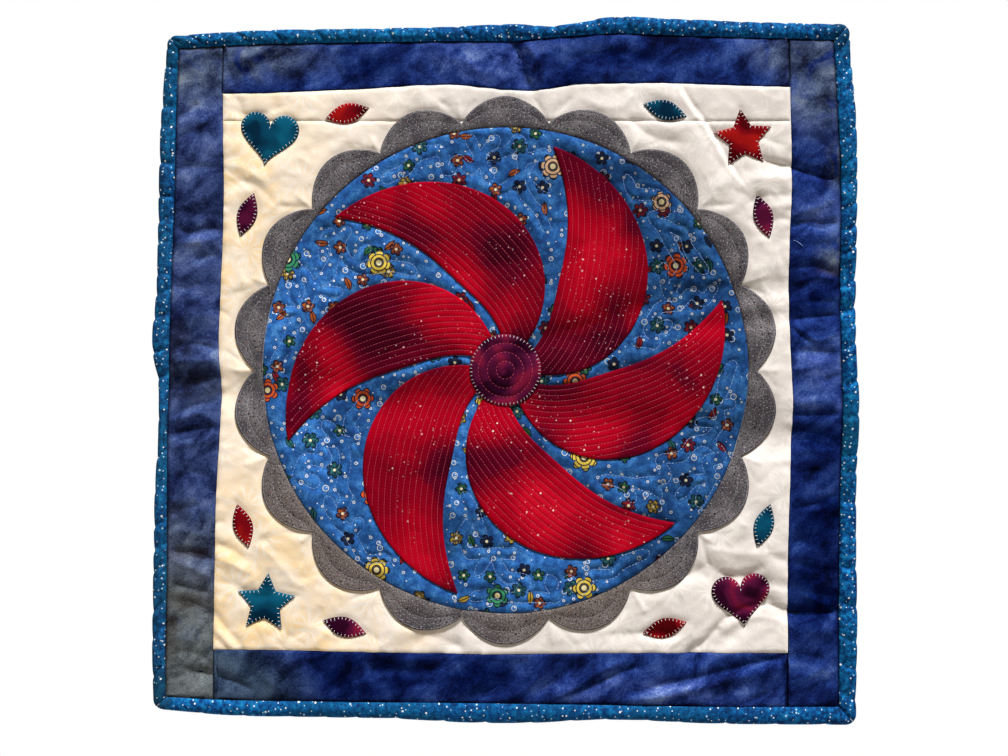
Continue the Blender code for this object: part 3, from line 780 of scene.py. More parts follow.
def corners_cut(line, share=0.28):
    """A closed line whose corners are cut off at this share of each stretch."""
    run = np.roll(line, -1, axis=0) - line
    return np.stack((line + share * run, line + (1 - share) * run), 1).reshape(-1, 2)


def stipple_lines():
    """Closed meanders round random trees, in the parts of the disc that show."""
    rng = np.random.default_rng(11)
    nodes = tree_nodes(rng)
    joined = random_trees(nodes, rng)
    sway = Noise(5, 8.0), Noise(6, 8.0)
    lines, seen = [], set()
    for first in range(len(nodes)):
        if first in seen or not joined[first]:
            continue
        family = [first]
        for node in family:
            seen.add(node)
            family += [j for j in joined[node] if j not in seen]
        if len(family) < 2:
            continue
        line = resampled(round_the_tree(nodes, joined, first), 3.5, closed=True)
        line = line + 1.5 * np.stack((sway[0](line), sway[1](line)), 1)
        for _ in range(3):
            line = corners_cut(line)
        lines.append(resampled(line, 1.0, closed=True))
    return lines


STIPPLE = stipple_lines()
ECHO_SWAY = Noise(21, 26.0)


def echo_lines(start):
    """Quilting lines along a blade, all parallel to its left edge."""
    share = np.linspace(0.03, 0.985, 130)
    places, aside, half = blade_frame(share, start)
    found = []
    for row in range(1, int(2 * half.max() / ECHO_STEP) + 1):
        depth = ECHO_STEP * row
        depth = depth + ECHO_DEPTH * ECHO_SWAY(places + aside * (half - depth)[:, None])
        line = places + aside * (half - depth)[:, None]
        kept = (depth < 2 * half - 1.6) & (from_centre(line) > HUB_RADIUS + 0.5)
        if kept.sum() > 6:
            found.append(line[kept])
    return found


def scallop_echo():
    """Free-motion arcs inside each scallop."""
    lines = []
    for lobe in range(SCALLOPS):
        share = np.linspace(0.10, 0.90, 16)
        turn = FULL_TURN * (lobe + share) / SCALLOPS
        lines.append(polar(DISC_RADIUS + 1.5 + 12.5 * np.sin(math.pi * share) ** 0.9, turn))
    return lines


# ---------------------------------------------------------------- surfaces


def wrinkles(points, rows, crest=1.5, widest=2.6):
    """The heights of folds that die away at their ends. They are cut off at widest times their
    reach, and a low crest makes a sharp one."""
    found = np.zeros(len(points))
    for fold in rows:
        route = curved(fold.route)
        far = widest * fold.reach
        near = ((points > route.min(0) - far) & (points < route.max(0) + far)).all(1)
        if near.any():
            ways = np.linalg.norm(points[near][:, None] - route[None], axis=2)
            away = ways.min(1) / fold.reach
            share = ways.argmin(1) / (len(route) - 1)
            fade = np.clip(np.minimum(share, 1 - share) / 0.22 + 0.25, 0, 1)
            rise = (bell(away, crest) - bell(widest, crest)).clip(0)
            found[near] += fold.height * rise * fade
    return found


def random_creases():
    """Many short, slight creases of the cream panel and the borders, in no order."""
    rng = np.random.default_rng(77)
    found = []
    for _ in range(520):
        start = rng.uniform((-255, -515), (255, -12))
        turn = rng.choice((0.6, 2.2, rng.uniform(0, math.pi))) + rng.uniform(-0.5, 0.5)
        bend, long = rng.uniform(-0.5, 0.5), rng.uniform(5, 17)
        middle = start + long * np.array((math.cos(turn), math.sin(turn)))
        last = middle + long * np.array((math.cos(turn + bend), math.sin(turn + bend)))
        height = rng.choice((-1, 1)) * rng.uniform(0.15, 0.55)
        found.append(Fold(height, rng.uniform(1.6, 4.0), (start, middle, last)))
    return found


SEAM_WAVES = {side: Noise(31 + i, 5.5) for i, side in enumerate(SIDES)}


def seam_puckers(points):
    """Short wrinkles that run out from the seams, where the cloth is eased in."""
    found = np.zeros(len(points))
    for side, axis in AXIS.items():
        along = np.stack((points[:, axis], np.zeros(len(points))), 1)
        for column, shift, reach in (("seam", 0, 6), ("ditch", 40, 5)):
            away = np.abs(points[:, 1 - axis] - side_values(side, column, points[:, axis]))
            found += SEAM_WAVES[side](along + shift) * np.exp(-away / reach)
    return found


def valley_folds():
    """Three short creases that run out of each valley of the scallops: a hollow between two others."""
    rng = np.random.default_rng(8)
    found = []
    for valley in FULL_TURN * np.arange(SCALLOPS) / SCALLOPS:
        for way, height in enumerate((-1.0, 0.7, -0.7)):
            height = height * rng.uniform(0.6, 1.2)
            reach = rng.uniform(1.6, 2.6)
            end = polar(SCALLOP_VALLEY + rng.uniform(13, 26), valley + (way - 1) * 0.07)
            found.append(Fold(height, reach, (polar(SCALLOP_VALLEY + 1.0, valley), end)))
    return found


VALLEY_FOLDS = valley_folds()
CREASES = random_creases()
COVERED = [SCALLOP, *MOTIF_OUTLINES.values()]
COVERS = Lines(COVERED)
BROAD, MEDIUM, SMALL = Noise(1, 24.0), Noise(2, 11.0, 30, 1.6), Noise(3, 4.5, -20, 1.5)
DISC_LINES = Lines([*STIPPLE, *BLADE_OUTLINES, circle(DISC_RADIUS), circle(HUB_RADIUS)])
RING_LINES = Lines((), scallop_echo())

# Heights of the layers' undersides and stitched fronts over the quilt's back.
BEHIND_APPLIQUE, DISC_RISE, RING_RISE, MOTIF_RISE = 2.7, 3.9, 3.4, 3.5
BEHIND_BLADE, BLADE_RISE = 3.35, 4.45
BEHIND_HUB, HUB_RISE = 4.9, 5.35


def quilt_middle(points):
    """The height of the middle of the quilt's thickness."""
    return lift(points) + HALF_QUILT


def drape(points):
    """The lift with the small folds, which all the layers of the front share."""
    return lift(points) + wrinkles(points, FINE_FOLDS) + 0.3 * BROAD(points)


def top_front(points, cream):
    """The front of the pieced top: the cream ground or a border."""
    relief = 0.4 * MEDIUM(points) + 0.15 * SMALL(points) + 0.5 * seam_puckers(points)
    relief += (1.0 if cream else 0.6) * wrinkles(points, CREASES)
    relief *= 1 - CALM_SHARE * bell(np.linalg.norm(points - CALM_PLACE, axis=1) / CALM_REACH, 4)
    if cream:
        relief += wrinkles(points, VALLEY_FOLDS) + 0.35 * MEDIUM(points * 1.7)
        rise = (relief + DIP + 0.5) * puffed(COVERS.distance(points), 3.2)
        relief = np.where(inside_any(points, COVERED), -DIP, rise - DIP)
    else:
        relief += 0.3
    relief += (1.0 if cream else BORDER_FOLDS) * wrinkles(points, FINE_FOLDS) + 0.3 * BROAD(points)
    opened = openness(points)
    groove = GROOVE * bell(opened / 0.16) * inside(points, DITCH)
    return quilt_middle(points) + HALF_QUILT * pinched(opened) + relief * opened - groove


def cream_front(points):
    return top_front(points, cream=True)


def border_front(points):
    return top_front(points, cream=False)


def quilt_back(points, cover):
    """The back of the quilt inside a back cloth that is this thick."""
    return quilt_middle(points) - (HALF_QUILT - cover) * pinched(openness(points))


def disc_front(points):
    away = DISC_LINES.distance(points)
    hidden = inside_any(points, BLADE_OUTLINES) | (from_centre(points) < HUB_RADIUS)
    relief = 1.6 * puffed(away, 3.2, 1.15) * (1 + 0.35 * MEDIUM(points))
    relief += 0.45 * SMALL(points) * np.minimum(1, away / 2)
    return drape(points) + DISC_RISE + np.where(hidden, -DIP, relief - DIP)


def ring_front(points):
    away = np.minimum(from_centre(points) - DISC_RADIUS, RING_LINES.distance(points))
    puff = 0.8 * puffed(np.maximum(away, 0), 2.5)
    return drape(points) + RING_RISE + puff + 0.2 * MEDIUM(points)


def blade_front(points, depth, width):
    """A blade's front: a rounded rib between each two of its quilting lines."""
    rib = np.abs(np.sin(math.pi * (depth - ECHO_DEPTH * ECHO_SWAY(points)) / ECHO_STEP)) ** 0.8
    crown = np.clip(4 * depth * (width - depth) / np.maximum(width, 1) ** 2, 0, 1)
    uneven = 0.15 * SMALL(points) + 0.15 * MEDIUM(points)
    return drape(points) + BLADE_RISE + 0.4 * rib + 0.42 * crown + uneven


def hub_front(points):
    rings = np.abs(np.sin(math.pi * (HUB_RADIUS - from_centre(points)) / HUB_STEP)) ** 0.7
    return drape(points) + HUB_RISE + 0.8 * rings + 0.1 * SMALL(points)


def motif_front(outline):
    line = Lines([outline])

    def front(points):
        puff = 0.9 * puffed(line.distance(points), 3.0)
        return drape(points) + MOTIF_RISE + puff + 0.12 * SMALL(points) + 0.12 * MEDIUM(points)

    return front


# ---------------------------------------------------------------- meshes


def placed(name, data):
    """A new object in the scene."""
    obj = bpy.data.objects.new(name, data)
    bpy.context.scene.collection.objects.link(obj)
    return obj


def new_object(name, vertices, faces, material, sharp=50):
    """An object from points and faces. Edges that bend by more than sharp degrees aren't smoothed."""
    data = bpy.data.meshes.new(name)
    data.from_pydata(np.asarray(vertices).tolist(), [], [list(map(int, face)) for face in faces])
    data.validate()
    data.shade_smooth()
    data.set_sharp_from_angle(angle=math.radians(sharp))
    data.materials.append(material)
    obj = placed(name, data)
    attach(obj, "root")
    return obj


def fill(loops, inner):
    """Triangles between an outline and its hole, over inner points; and each point's rim place."""
    faces, start = [], 0
    for loop in loops:
        faces.append(list(range(start, start + len(loop))))
        start += len(loop)
    flat = [Vector(point) for point in np.concatenate([*loops, inner])]
    found, _, triangles, origins, _, within = delaunay_2d_cdt(flat, [], faces, 0, 1e-4, True)
    kept = np.array([t for t, w in zip(triangles, within) if 0 in w and 1 not in w])
    places = np.array([tuple(point) for point in found])
    rim = {origin: i for i, near in enumerate(origins) for origin in near if origin < start}
    a, b, c = (places[kept[:, i]] for i in range(3))
    turn = (b[:, 0] - a[:, 0]) * (c[:, 1] - a[:, 1]) - (b[:, 1] - a[:, 1]) * (c[:, 0] - a[:, 0])
    kept[turn < 0] = kept[turn < 0][:, ::-1]
    return places, kept, rim


def cloth(name, material, outline, front, back, step, hole=None, edge_drop=0.8, edge_reach=1.3,
          coarse=None, back_step=12.0, soft=False):
    """A closed thin body in an outline, with its flat size and area in metres.

    The front is step fine, apart from the points that coarse picks, and falls by edge_drop over
    edge_reach to its rounded or soft edge. The back is back_step fine.
    """
    loops = [counter_clockwise(loop) for loop in (outline, hole) if loop is not None]
    outline, holes = loops[0], loops[1:]
    line = Lines(loops)

    def within(points, margin):
        points = points[inside(points, outline) & ~inside_any(points, holes)]
        return points[line.distance(points) > margin]

    low, high = outline.min(0), outline.max(0)
    grid = within(hex_points(low, high, step), 0.75 * step + edge_reach)
    if coarse is not None:
        wide_step = 6 * step
        wide = within(hex_points(low, high, wide_step), wide_step)
        grid = np.concatenate((grid[~coarse(grid)], wide[coarse(wide)]))
    rings = []
    for loop, inward in zip(loops, (1, -1)):
        aside = turned_left(ways_round(loop)) * inward
        for share in (0.22, 0.6, 1.0):
            depth = share * edge_reach
            ring = loop + aside * depth
            rings.append(within(ring[line.distance(ring) > 0.9 * depth], 0.1 * edge_reach))
    places, fronts, rim = fill(loops, np.concatenate([*rings, grid]))
    depth = np.minimum(line.distance(places) / edge_reach, 1)
    drop = edge_drop * ((1 - depth) ** 1.8 if soft else rounding(depth))
    behind, backs, back_rim = fill(loops, within(hex_points(low, high, back_step), 0.4 * back_step))
    vertices = np.concatenate((world(places, front(places) - drop), world(behind, back(behind))))
    shift = len(places)
    faces = [tuple(face) for face in fronts] + [tuple(face[::-1] + shift) for face in backs]
    start = 0
    for loop in loops:
        for i in range(len(loop)):
            a, b = start + i, start + (i + 1) % len(loop)
            if start:
                a, b = b, a
            faces.append((rim[a], back_rim[a] + shift, back_rim[b] + shift, rim[b]))
        start += len(loop)
    area = area_of(outline) - sum(area_of(loop) for loop in holes)
    return new_object(name, vertices, faces, material), (high - low) * MM, area * MM * MM


def thread_pieces(name, material, starts, ends, surface, radius):
    """Short raised stitches from starts to ends on a surface, as one mesh."""
    shares = np.array((0.0, 0.22, 0.78, 1.0))
    rise = np.array((-0.1, 0.16, 0.16, -0.1))
    girth = np.array((0.45, 1.0, 1.0, 0.45)) * radius
    run = ends - starts
    aside = turned_left(units(run))
    centres = starts[:, None] + run[:, None] * shares[None, :, None]
    heights = surface(centres.reshape(-1, 2)).reshape(-1, 4)
    heights = np.linspace(heights[:, 0], heights[:, -1], 4, axis=1) * 0.5 + heights * 0.5 + rise
    turns = np.array((0, 0.5, 1, 1.5)) * math.pi
    flat = centres[:, :, None] + aside[:, None, None] * (girth[:, None] * np.cos(turns))[None, :, :, None]
    high = heights[:, :, None] + (girth[:, None] * np.sin(turns))[None]
    vertices = world(flat.reshape(-1, 2), high.reshape(-1))
    ring = np.arange(4)
    after = (ring + 1) % 4
    wall = np.stack((ring, after, after + 4, ring + 4), 1)
    one = np.concatenate((wall, wall + 4, wall + 8, [[3, 2, 1, 0]], [[12, 13, 14, 15]]))
    faces = (one[None] + 16 * np.arange(len(starts))[:, None, None]).reshape(-1, 4)
    return new_object(name, vertices, faces, material, 80)


def stitches(name, material, paths, surface, pitch=2.9, length=2.3, radius=0.2):
    """Rows of stitches along paths."""
    starts, ends = [], []
    for path in paths:
        run = run_along(path)
        at = np.arange(0, run[-1] - length, pitch)
        for shift, found in ((0, starts), (length, ends)):
            found.append(np.stack([np.interp(at + shift, run, path[:, k]) for k in (0, 1)], 1))
    return thread_pieces(name, material, np.concatenate(starts), np.concatenate(ends), surface, radius)


def ticks(name, outline, surface, pitch=3.0, length=2.0, inset=0.35, radius=0.17):
    """Blanket stitches: short bars across the edge, a little uneven."""
    rng = np.random.default_rng(len(outline))
    line = resampled(counter_clockwise(outline), pitch, closed=True)
    ahead = ways_round(line)
    aside = turned_left(ahead)
    reach = length * rng.uniform(0.7, 1.2, (len(line), 1))
    starts = line + aside * inset
    ends = line + aside * (reach + inset) + ahead * rng.uniform(-0.3, 0.3, (len(line), 1))
    return thread_pieces(name, PALE_THREAD, starts, ends, surface, radius)


# ---------------------------------------------------------------- materials


def linear(code):
    """A display colour such as 0x2F6FC0 as linear red, green and blue."""
    found = []
    for shift in (16, 8, 0):
        value = (code >> shift & 255) / 255
        found.append(value / 12.92 if value <= 0.04045 else ((value + 0.055) / 1.055) ** 2.4)
    return (*found, 1.0)


class Paint:
    """Builds one material's nodes. Places are in millimetres, (x, z) as seen from the front."""

    def __init__(self, name, roughness, specular=0.25):
        self.material = bpy.data.materials.new(name)
        self.material.use_nodes = True
        self.tree = self.material.node_tree
        self.shader = self.tree.nodes["Principled BSDF"]
        self.shader.inputs["Roughness"].default_value = roughness
        self.shader.inputs["Specular IOR Level"].default_value = specular
        texture = self.node("ShaderNodeTexCoord")
        split = self.node("ShaderNodeSeparateXYZ")
        self.link(texture.outputs["Object"], split.inputs[0])
        self.x = self.times(split.outputs["X"], 1 / MM)
        self.z = self.scaled(split.outputs["Z"], 1 / MM, TOP_MIDDLE)
        self.place = self.combined(self.x, self.z)

    def node(self, kind, **settings):
        made = self.tree.nodes.new(kind)
        for key, value in settings.items():
            setattr(made, key, value)
        return made

    def link(self, source, socket):
        if isinstance(source, bpy.types.NodeSocket):
            self.tree.links.new(source, socket)
        elif isinstance(source, tuple) and len(socket.default_value) == 3:
            socket.default_value = source[:3]
        else:
            socket.default_value = source

    def math(self, operation, *values, clamp=False):
        made = self.node("ShaderNodeMath", operation=operation, use_clamp=clamp)
        for socket, value in zip(made.inputs, values):
            self.link(value, socket)
        return made.outputs[0]

    def times(self, first, second, clamp=False):
        return self.math("MULTIPLY", first, second, clamp=clamp)

    def plus(self, first, second):
        return self.math("ADD", first, second)

    def minus(self, first, second):
        return self.math("SUBTRACT", first, second)

    def scaled(self, value, factor, start):
        """The value times a factor, counted on from start."""
        return self.math("MULTIPLY_ADD", value, factor, start)

    def absolute(self, value):
        return self.math("ABSOLUTE", value)

    def vector(self, operation, *values):
        made = self.node("ShaderNodeVectorMath", operation=operation)
        for socket, value in zip(made.inputs, values):
            self.link(value, socket)
        return made.outputs["Vector"]

    def length(self, vector):
        made = self.node("ShaderNodeVectorMath", operation="LENGTH")
        self.link(vector, made.inputs[0])
        return made.outputs["Value"]

    def combined(self, *values):
        made = self.node("ShaderNodeCombineXYZ")
        for socket, value in zip(made.inputs, values):
            self.link(value, socket)
        return made.outputs[0]

    def split(self, vector):
        made = self.node("ShaderNodeSeparateXYZ")
        self.link(vector, made.inputs[0])
        return made.outputs[0], made.outputs[1]

    def moved(self, turn=0.0, stretch=(1.0, 1.0), shift=(0.0, 0.0)):
        made = self.node("ShaderNodeMapping", vector_type="TEXTURE")
        self.link(self.place, made.inputs["Vector"])
        made.inputs["Location"].default_value = (*shift, 0)
        made.inputs["Rotation"].default_value = (0, 0, math.radians(turn))
        made.inputs["Scale"].default_value = (*stretch, 1)
        return made.outputs[0]

    def noise(self, size, detail, roughness=0.5, distortion=0.0, vector=None):
        made = self.node("ShaderNodeTexNoise", noise_dimensions="2D")
        self.link(vector or self.place, made.inputs["Vector"])
        made.inputs["Scale"].default_value = 1 / size
        made.inputs["Detail"].default_value = detail
        made.inputs["Roughness"].default_value = roughness
        made.inputs["Distortion"].default_value = distortion
        return made.outputs[0]

    def cells(self, size, scatter, vector=None):
        """Scattered points: the way from the nearest one in millimetres, and its random colour."""
        made = self.node("ShaderNodeTexVoronoi", voronoi_dimensions="2D")
        vector = vector or self.place
        self.link(vector, made.inputs["Vector"])
        made.inputs["Scale"].default_value = 1 / size
        made.inputs["Randomness"].default_value = scatter
        own = self.vector("SUBTRACT", vector, made.outputs["Position"])
        split = self.node("ShaderNodeSeparateColor")
        self.link(made.outputs["Color"], split.inputs[0])
        return own, [split.outputs[i] for i in range(3)]

    def ramp(self, value, stops, ease="EASE"):
        made = self.node("ShaderNodeValToRGB")
        ramp = made.color_ramp
        ramp.interpolation = ease
        while len(ramp.elements) < len(stops):
            ramp.elements.new(1.0)
        for element, (at, colour) in zip(ramp.elements, stops):
            element.position = at
            element.color = linear(colour)
        self.link(value, made.inputs[0])
        return made.outputs[0]

    def mix(self, share, first, second):
        made = self.node("ShaderNodeMix", data_type="RGBA")
        self.link(share, made.inputs[0])
        self.link(linear(first) if isinstance(first, int) else first, made.inputs[6])
        self.link(linear(second) if isinstance(second, int) else second, made.inputs[7])
        return made.outputs[2]

    def over(self, base, colour, mask, strength=1.0):
        """The base with a colour laid over it where the mask is 1."""
        return self.mix(mask if strength == 1.0 else self.times(mask, strength), base, colour)

    def step(self, value, low, high):
        """0 below low and 1 above high, or the other way round where low is above high."""
        made = self.node("ShaderNodeMapRange", interpolation_type="SMOOTHSTEP")
        self.link(value, made.inputs[0])
        if low < high:
            made.inputs[1].default_value, made.inputs[2].default_value = low, high
        else:
            made.inputs[1].default_value, made.inputs[2].default_value = high, low
            made.inputs[3].default_value, made.inputs[4].default_value = 1.0, 0.0
        return made.outputs[0]

    def stirred(self, value, noise, strength):
        """The value, moved up and down by a noise."""
        return self.scaled(self.minus(noise, 0.5), strength, value)

    def spot(self, x, z, reach_x, reach_z):
        """1 at a place, falling off to 0 at its reach."""
        away = self.vector("SUBTRACT", self.place, (x, z, 0.0))
        away = self.vector("DIVIDE", away, (reach_x, reach_z, 1.0))
        return self.step(self.length(away), 1.0, 0.15)

    def spots(self, *places):
        found = self.spot(*places[0])
        for place in places[1:]:
            found = self.math("MAXIMUM", found, self.spot(*place))
        return found

    def patches(self, noise, low, high, *places):
        """Spots that show only where the noise is high."""
        return self.times(self.spots(*places), self.step(noise, low, high))

    def turn_of(self, vector, spin):
        """The angle of a vector, turned by a random share of a full turn."""
        x, z = self.split(vector)
        return self.scaled(spin, FULL_TURN, self.math("ARCTAN2", z, x))

    def brightened(self, colour, value, low, high):
        """The colour times a factor that runs from low to high with the value."""
        made = self.node("ShaderNodeMapRange")
        self.link(value, made.inputs[0])
        made.inputs[3].default_value, made.inputs[4].default_value = low, high
        factor = made.outputs[0]
        return self.vector("MULTIPLY", colour, self.combined(factor, factor, factor))

    def weave(self, depth, pitch=0.55, extra=None):
        """Fine uneven threads both ways, as a bump, with an extra height in millimetres."""
        across = self.noise(pitch, 1.0, 0.5, vector=self.moved(stretch=(5.0, 1.0)))
        along = self.noise(pitch, 1.0, 0.5, vector=self.moved(stretch=(1.0, 5.0), shift=(9.0, 4.0)))
        height = self.times(self.plus(across, along), depth)
        if extra is not None:
            height = self.plus(height, extra)
        made = self.node("ShaderNodeBump")
        made.inputs["Strength"].default_value = 1.0
        made.inputs["Distance"].default_value = MM
        self.link(height, made.inputs["Height"])
        self.link(made.outputs[0], self.shader.inputs["Normal"])

    def colour(self, value):
        self.link(value, self.shader.inputs["Base Color"])
        return self.material


def cream_paint():
    """Cream cotton with a faint paler print of rays and scribbles, and painted warm light: warmer on the
    left and in golden patches there.
    """
    paint = Paint("cream_print", roughness=0.88)
    # painted warm light: the cream is warmer on the left and cooler on the right
    base = paint.mix(paint.step(paint.x, -180.0, -20.0), 0xFCECD6, 0xEAE3DE)
    # painted warm light and shade: golden patches on the left part of the panel
    warm = paint.patches(
        paint.noise(26, 3.0), 0.28, 0.72,
        (-215, -430, 170, 140), (-150, -480, 140, 70), (-215, -130, 90, 170),
    )
    base = paint.over(base, 0xFFE0AC, warm)
    own, random = paint.cells(46, 0.9)
    wander = paint.times(paint.noise(9, 2.0), 5.0)
    rays = paint.math("SINE", paint.scaled(paint.turn_of(own, random[0]), 11.0, wander))
    rays = paint.times(paint.step(rays, 0.1, 0.7), paint.step(paint.length(own), 24.0, 5.0))
    scribble = paint.absolute(paint.minus(paint.noise(15, 2.5, 0.5, 1.2), 0.5))
    scribble = paint.times(paint.step(scribble, 0.035, 0.008), 0.8)
    base = paint.over(base, 0xFDFAF5, paint.math("MAXIMUM", rays, scribble), 0.5)
    base = paint.brightened(base, paint.noise(0.9, 2.0, 0.6), 0.93, 1.05)
    base = paint.brightened(base, paint.noise(24, 2.0), 0.92, 1.08)
    paint.weave(0.05)
    return paint.colour(base)


STRIP_ENDS = (-20.0, -505.0)  # an upright seam is a straight line between these heights for the paint
STRIP_JUMPS = {"left": 290.0, "right": 170.0}  # how far the marbling jumps from strip to strip
STRIP_MARGIN = 14.0  # how much further in an upright strip's paint reaches between the level borders
BORDER_DYES = {
    "blue": ((0.34, 0x060C2C), (0.44, 0x0F1D52), (0.52, 0x1C3274), (0.60, 0x30498E), (0.70, 0x5069A8)),
    "deep": ((0.36, 0x01041A), (0.45, 0x030C38), (0.52, 0x07174C), (0.60, 0x0F235C), (0.70, 0x203A78)),
    "pale": ((0.36, 0x1A2860), (0.46, 0x30468C), (0.54, 0x4A60A8), (0.66, 0x788EC2)),
    "smoke": ((0.36, 0x1A2034), (0.45, 0x3A4660), (0.54, 0x5A6880), (0.66, 0x8692A0)),
    "slate": ((0.36, 0x101C30), (0.46, 0x26344C), (0.56, 0x3C4E68), (0.68, 0x54667E)),
    "ash": ((0.34, 0x22272C), (0.44, 0x484E52), (0.54, 0x666E72), (0.66, 0x7E888A)),
}


def border_strips(paint):
    """The place on each border's own strip of cloth, and masks of the painted shade along the seams and of
    the left strip.
    """
    middle = paint.step(paint.absolute(paint.plus(paint.z, 260.0)), 206.0, 200.0)
    place, seams, strips = paint.place, [], []
    for side, jump in STRIP_JUMPS.items():
        high, low = (float(side_values(side, "seam", z)) for z in STRIP_ENDS)
        slope = (high - low) / (STRIP_ENDS[0] - STRIP_ENDS[1])
        seam = paint.scaled(paint.z, slope, high - STRIP_ENDS[0] * slope)
        past = paint.times(paint.minus(paint.x, seam), OUTWARD[side])
        past = paint.scaled(middle, STRIP_MARGIN, past)
        strip = paint.math("GREATER_THAN", past, 0.0)
        place = paint.vector("ADD", place, paint.combined(0.0, paint.times(strip, jump)))
        seams.append(paint.step(paint.absolute(past), 0.9, 0.3))
        strips.append(strip)
    return place, paint.math("MAXIMUM", *seams), strips[0]


def border_paint():
    """Marbled indigo cotton in four strips, with paler, greyer, browner and darker patches. The darker and
    paler patches on the folds are painted shade and painted highlight, and painted shade lines the seams and
    the ditch by the binding.
    """
    paint = Paint("marbled_indigo", roughness=0.95, specular=0.02)
    whole = paint.place
    paint.place, seams, left = border_strips(paint)
    streak = paint.noise(17, 5.0, 0.6, 0.3, paint.moved(turn=34, stretch=(1.6, 1.0)))
    blot = paint.noise(46, 4.0, 0.6, 0.2)
    fine = paint.noise(1.7, 3.0, 0.7)
    value = paint.stirred(paint.plus(paint.times(streak, 0.6), paint.times(blot, 0.4)), fine, 0.22)
    paint.place = whole
    dyes = {name: paint.ramp(value, stops) for name, stops in BORDER_DYES.items()}
    # painted shade: the deep dye colour laid over the fold hollows of the borders
    dark = paint.patches(
        paint.noise(24, 2.0), 0.22, 0.5,
        (236, -314, 42, 24), (236, -430, 60, 60), (238, -370, 40, 70), (-20, -492, 60, 30),
        (-110, -492, 120, 34), (-232, -272, 46, 16), (36, -40, 50, 18), (90, -28, 60, 14),
        (-110, -34, 40, 20), (236, -210, 40, 20),
    )
    # painted highlight: the pale dye colour laid over the fold crests of the borders
    light = paint.patches(
        paint.noise(22, 3.0, 0.6, 0.3), 0.34, 0.62,
        (-25, -32, 55, 26), (14, -30, 34, 24), (-234, -232, 46, 46), (-224, -78, 30, 34),
        (-224, -166, 26, 12), (130, -503, 90, 14), (60, -500, 50, 16), (232, -142, 34, 16),
        (236, -262, 34, 22), (232, -287, 34, 10),
    )
    smoky = paint.patches(
        paint.noise(20, 3.0, 0.6, 0.5), 0.26, 0.52,
        (-238, -32, 60, 42), (-188, -28, 70, 26), (238, -45, 50, 60), (226, -26, 60, 26),
        (-236, -386, 50, 24), (250, -176, 24, 18), (250, -108, 16, 30),
    )
    slaty = paint.times(paint.spot(-224, -506, 96, 60), 1.6, clamp=True)
    ashen = paint.times(paint.spots((-248, -468, 70, 98), (-246, -490, 84, 70)), 1.25, clamp=True)
    ashen = paint.times(ashen, paint.step(paint.noise(26, 3.0, 0.6, 0.4), 0.1, 0.5))
    brown = paint.spots((-240, -400, 30, 9), (246, -188, 16, 6), (-238, -436, 34, 13), (-252, -462, 10, 30))
    # painted shade: near-black in the deepest fold hollows of the borders
    painted_fold_shade = paint.patches(
        paint.noise(14, 3.0, 0.6), 0.25, 0.55,
        (-240, -272, 44, 26), (-252, -366, 24, 18), (-246, -246, 20, 40),
    )
    base = paint.over(dyes["blue"], dyes["deep"], dark)
    base = paint.over(base, dyes["pale"], light)
    # painted warm light: the left strip greyer all over, where warmer light falls on that side
    base = paint.over(base, dyes["smoke"], left, 0.3)
    base = paint.over(base, dyes["smoke"], smoky, 0.8)
    base = paint.over(base, dyes["slate"], slaty)
    base = paint.over(base, dyes["ash"], paint.times(ashen, left))
    base = paint.over(base, 0x3A2E26, brown, 0.5)
    base = paint.over(base, 0x120E18, painted_fold_shade, 0.8)
    base = paint.brightened(base, paint.noise(1.0, 2.0, 0.75), 0.35, 1.65)
    # painted shade: dark lines along the seams between the border strips
    base = paint.over(base, 0x05060C, seams, 0.7)
    # painted shade: a dark line in the ditch beside the binding, from the ditch marks
    ditch = paint.node("ShaderNodeAttribute", attribute_name="ditch").outputs["Fac"]
    base = paint.over(base, 0x03040E, ditch, 0.8)
    paint.weave(0.09, 0.6, paint.times(fine, 0.18))
    return paint.colour(base)


def back_paint():
    paint = Paint("plain_navy", roughness=0.95, specular=0.02)
    base = paint.mix(paint.noise(60, 2.0), 0x0B1738, 0x16254E)
    base = paint.brightened(base, paint.noise(1.0, 2.0, 0.75), 0.5, 1.5)
    paint.weave(0.07, 0.6)
    return paint.colour(base)


def dots(paint, size, low, high, share, vector=None):
    """Round dots with radii from low to high, in this share of the cells, and the cells' colours."""
    own, random = paint.cells(size, 1.0, vector)
    away = paint.minus(paint.length(own), paint.scaled(random[1], high - low, low))
    chosen = paint.math("LESS_THAN", random[0], share)
    return paint.times(paint.step(away, 0.22, -0.22), chosen), random


def binding_paint():
    """Mottled teal-blue cotton with dark flecks and two sizes of pale dots, and painted shade along the
    bottom.
    """
    paint = Paint("dotted_teal_blue", roughness=0.75, specular=0.06)
    value = paint.stirred(paint.noise(4.0, 4.0, 0.66, 0.15), paint.noise(60, 1.0), 0.25)
    blues = ((0.32, 0x032A54), (0.43, 0x063F78), (0.52, 0x0B5696), (0.62, 0x1270B0), (0.76, 0x2290CA))
    base = paint.ramp(value, blues)
    base = paint.over(base, 0x0B6280, paint.step(paint.noise(90, 1.5), 0.45, 0.65), 0.3)
    corners = paint.spots((-256, -20, 34, 26), (258, -12, 30, 26), (256, -310, 20, 24), (-262, -500, 20, 30))
    base = paint.over(base, 0x06303C, corners, 0.55)
    # painted shade: the bottom binding darker, as its roll faces down
    base = paint.over(base, 0x083C6C, paint.spot(10, -520, 380, 40), 0.4)
    base = paint.over(base, 0x264E62, paint.step(paint.x, -248.0, -256.0), 0.3)
    base = paint.over(base, 0x0A2350, paint.step(paint.noise(2.6, 2.5, 0.6), 0.53, 0.68), 0.75)
    for size, low, high, share, shift in ((5.6, 0.25, 0.55, 0.62, 0.0), (8.6, 0.42, 0.78, 0.66, 7.0)):
        mask, random = dots(paint, size, low, high, share, vector=paint.moved(shift=(shift, shift)))
        base = paint.over(base, paint.mix(random[2], 0x9CCDE6, 0xFDFFFF), mask)
    paint.weave(0.04)
    return paint.colour(base)


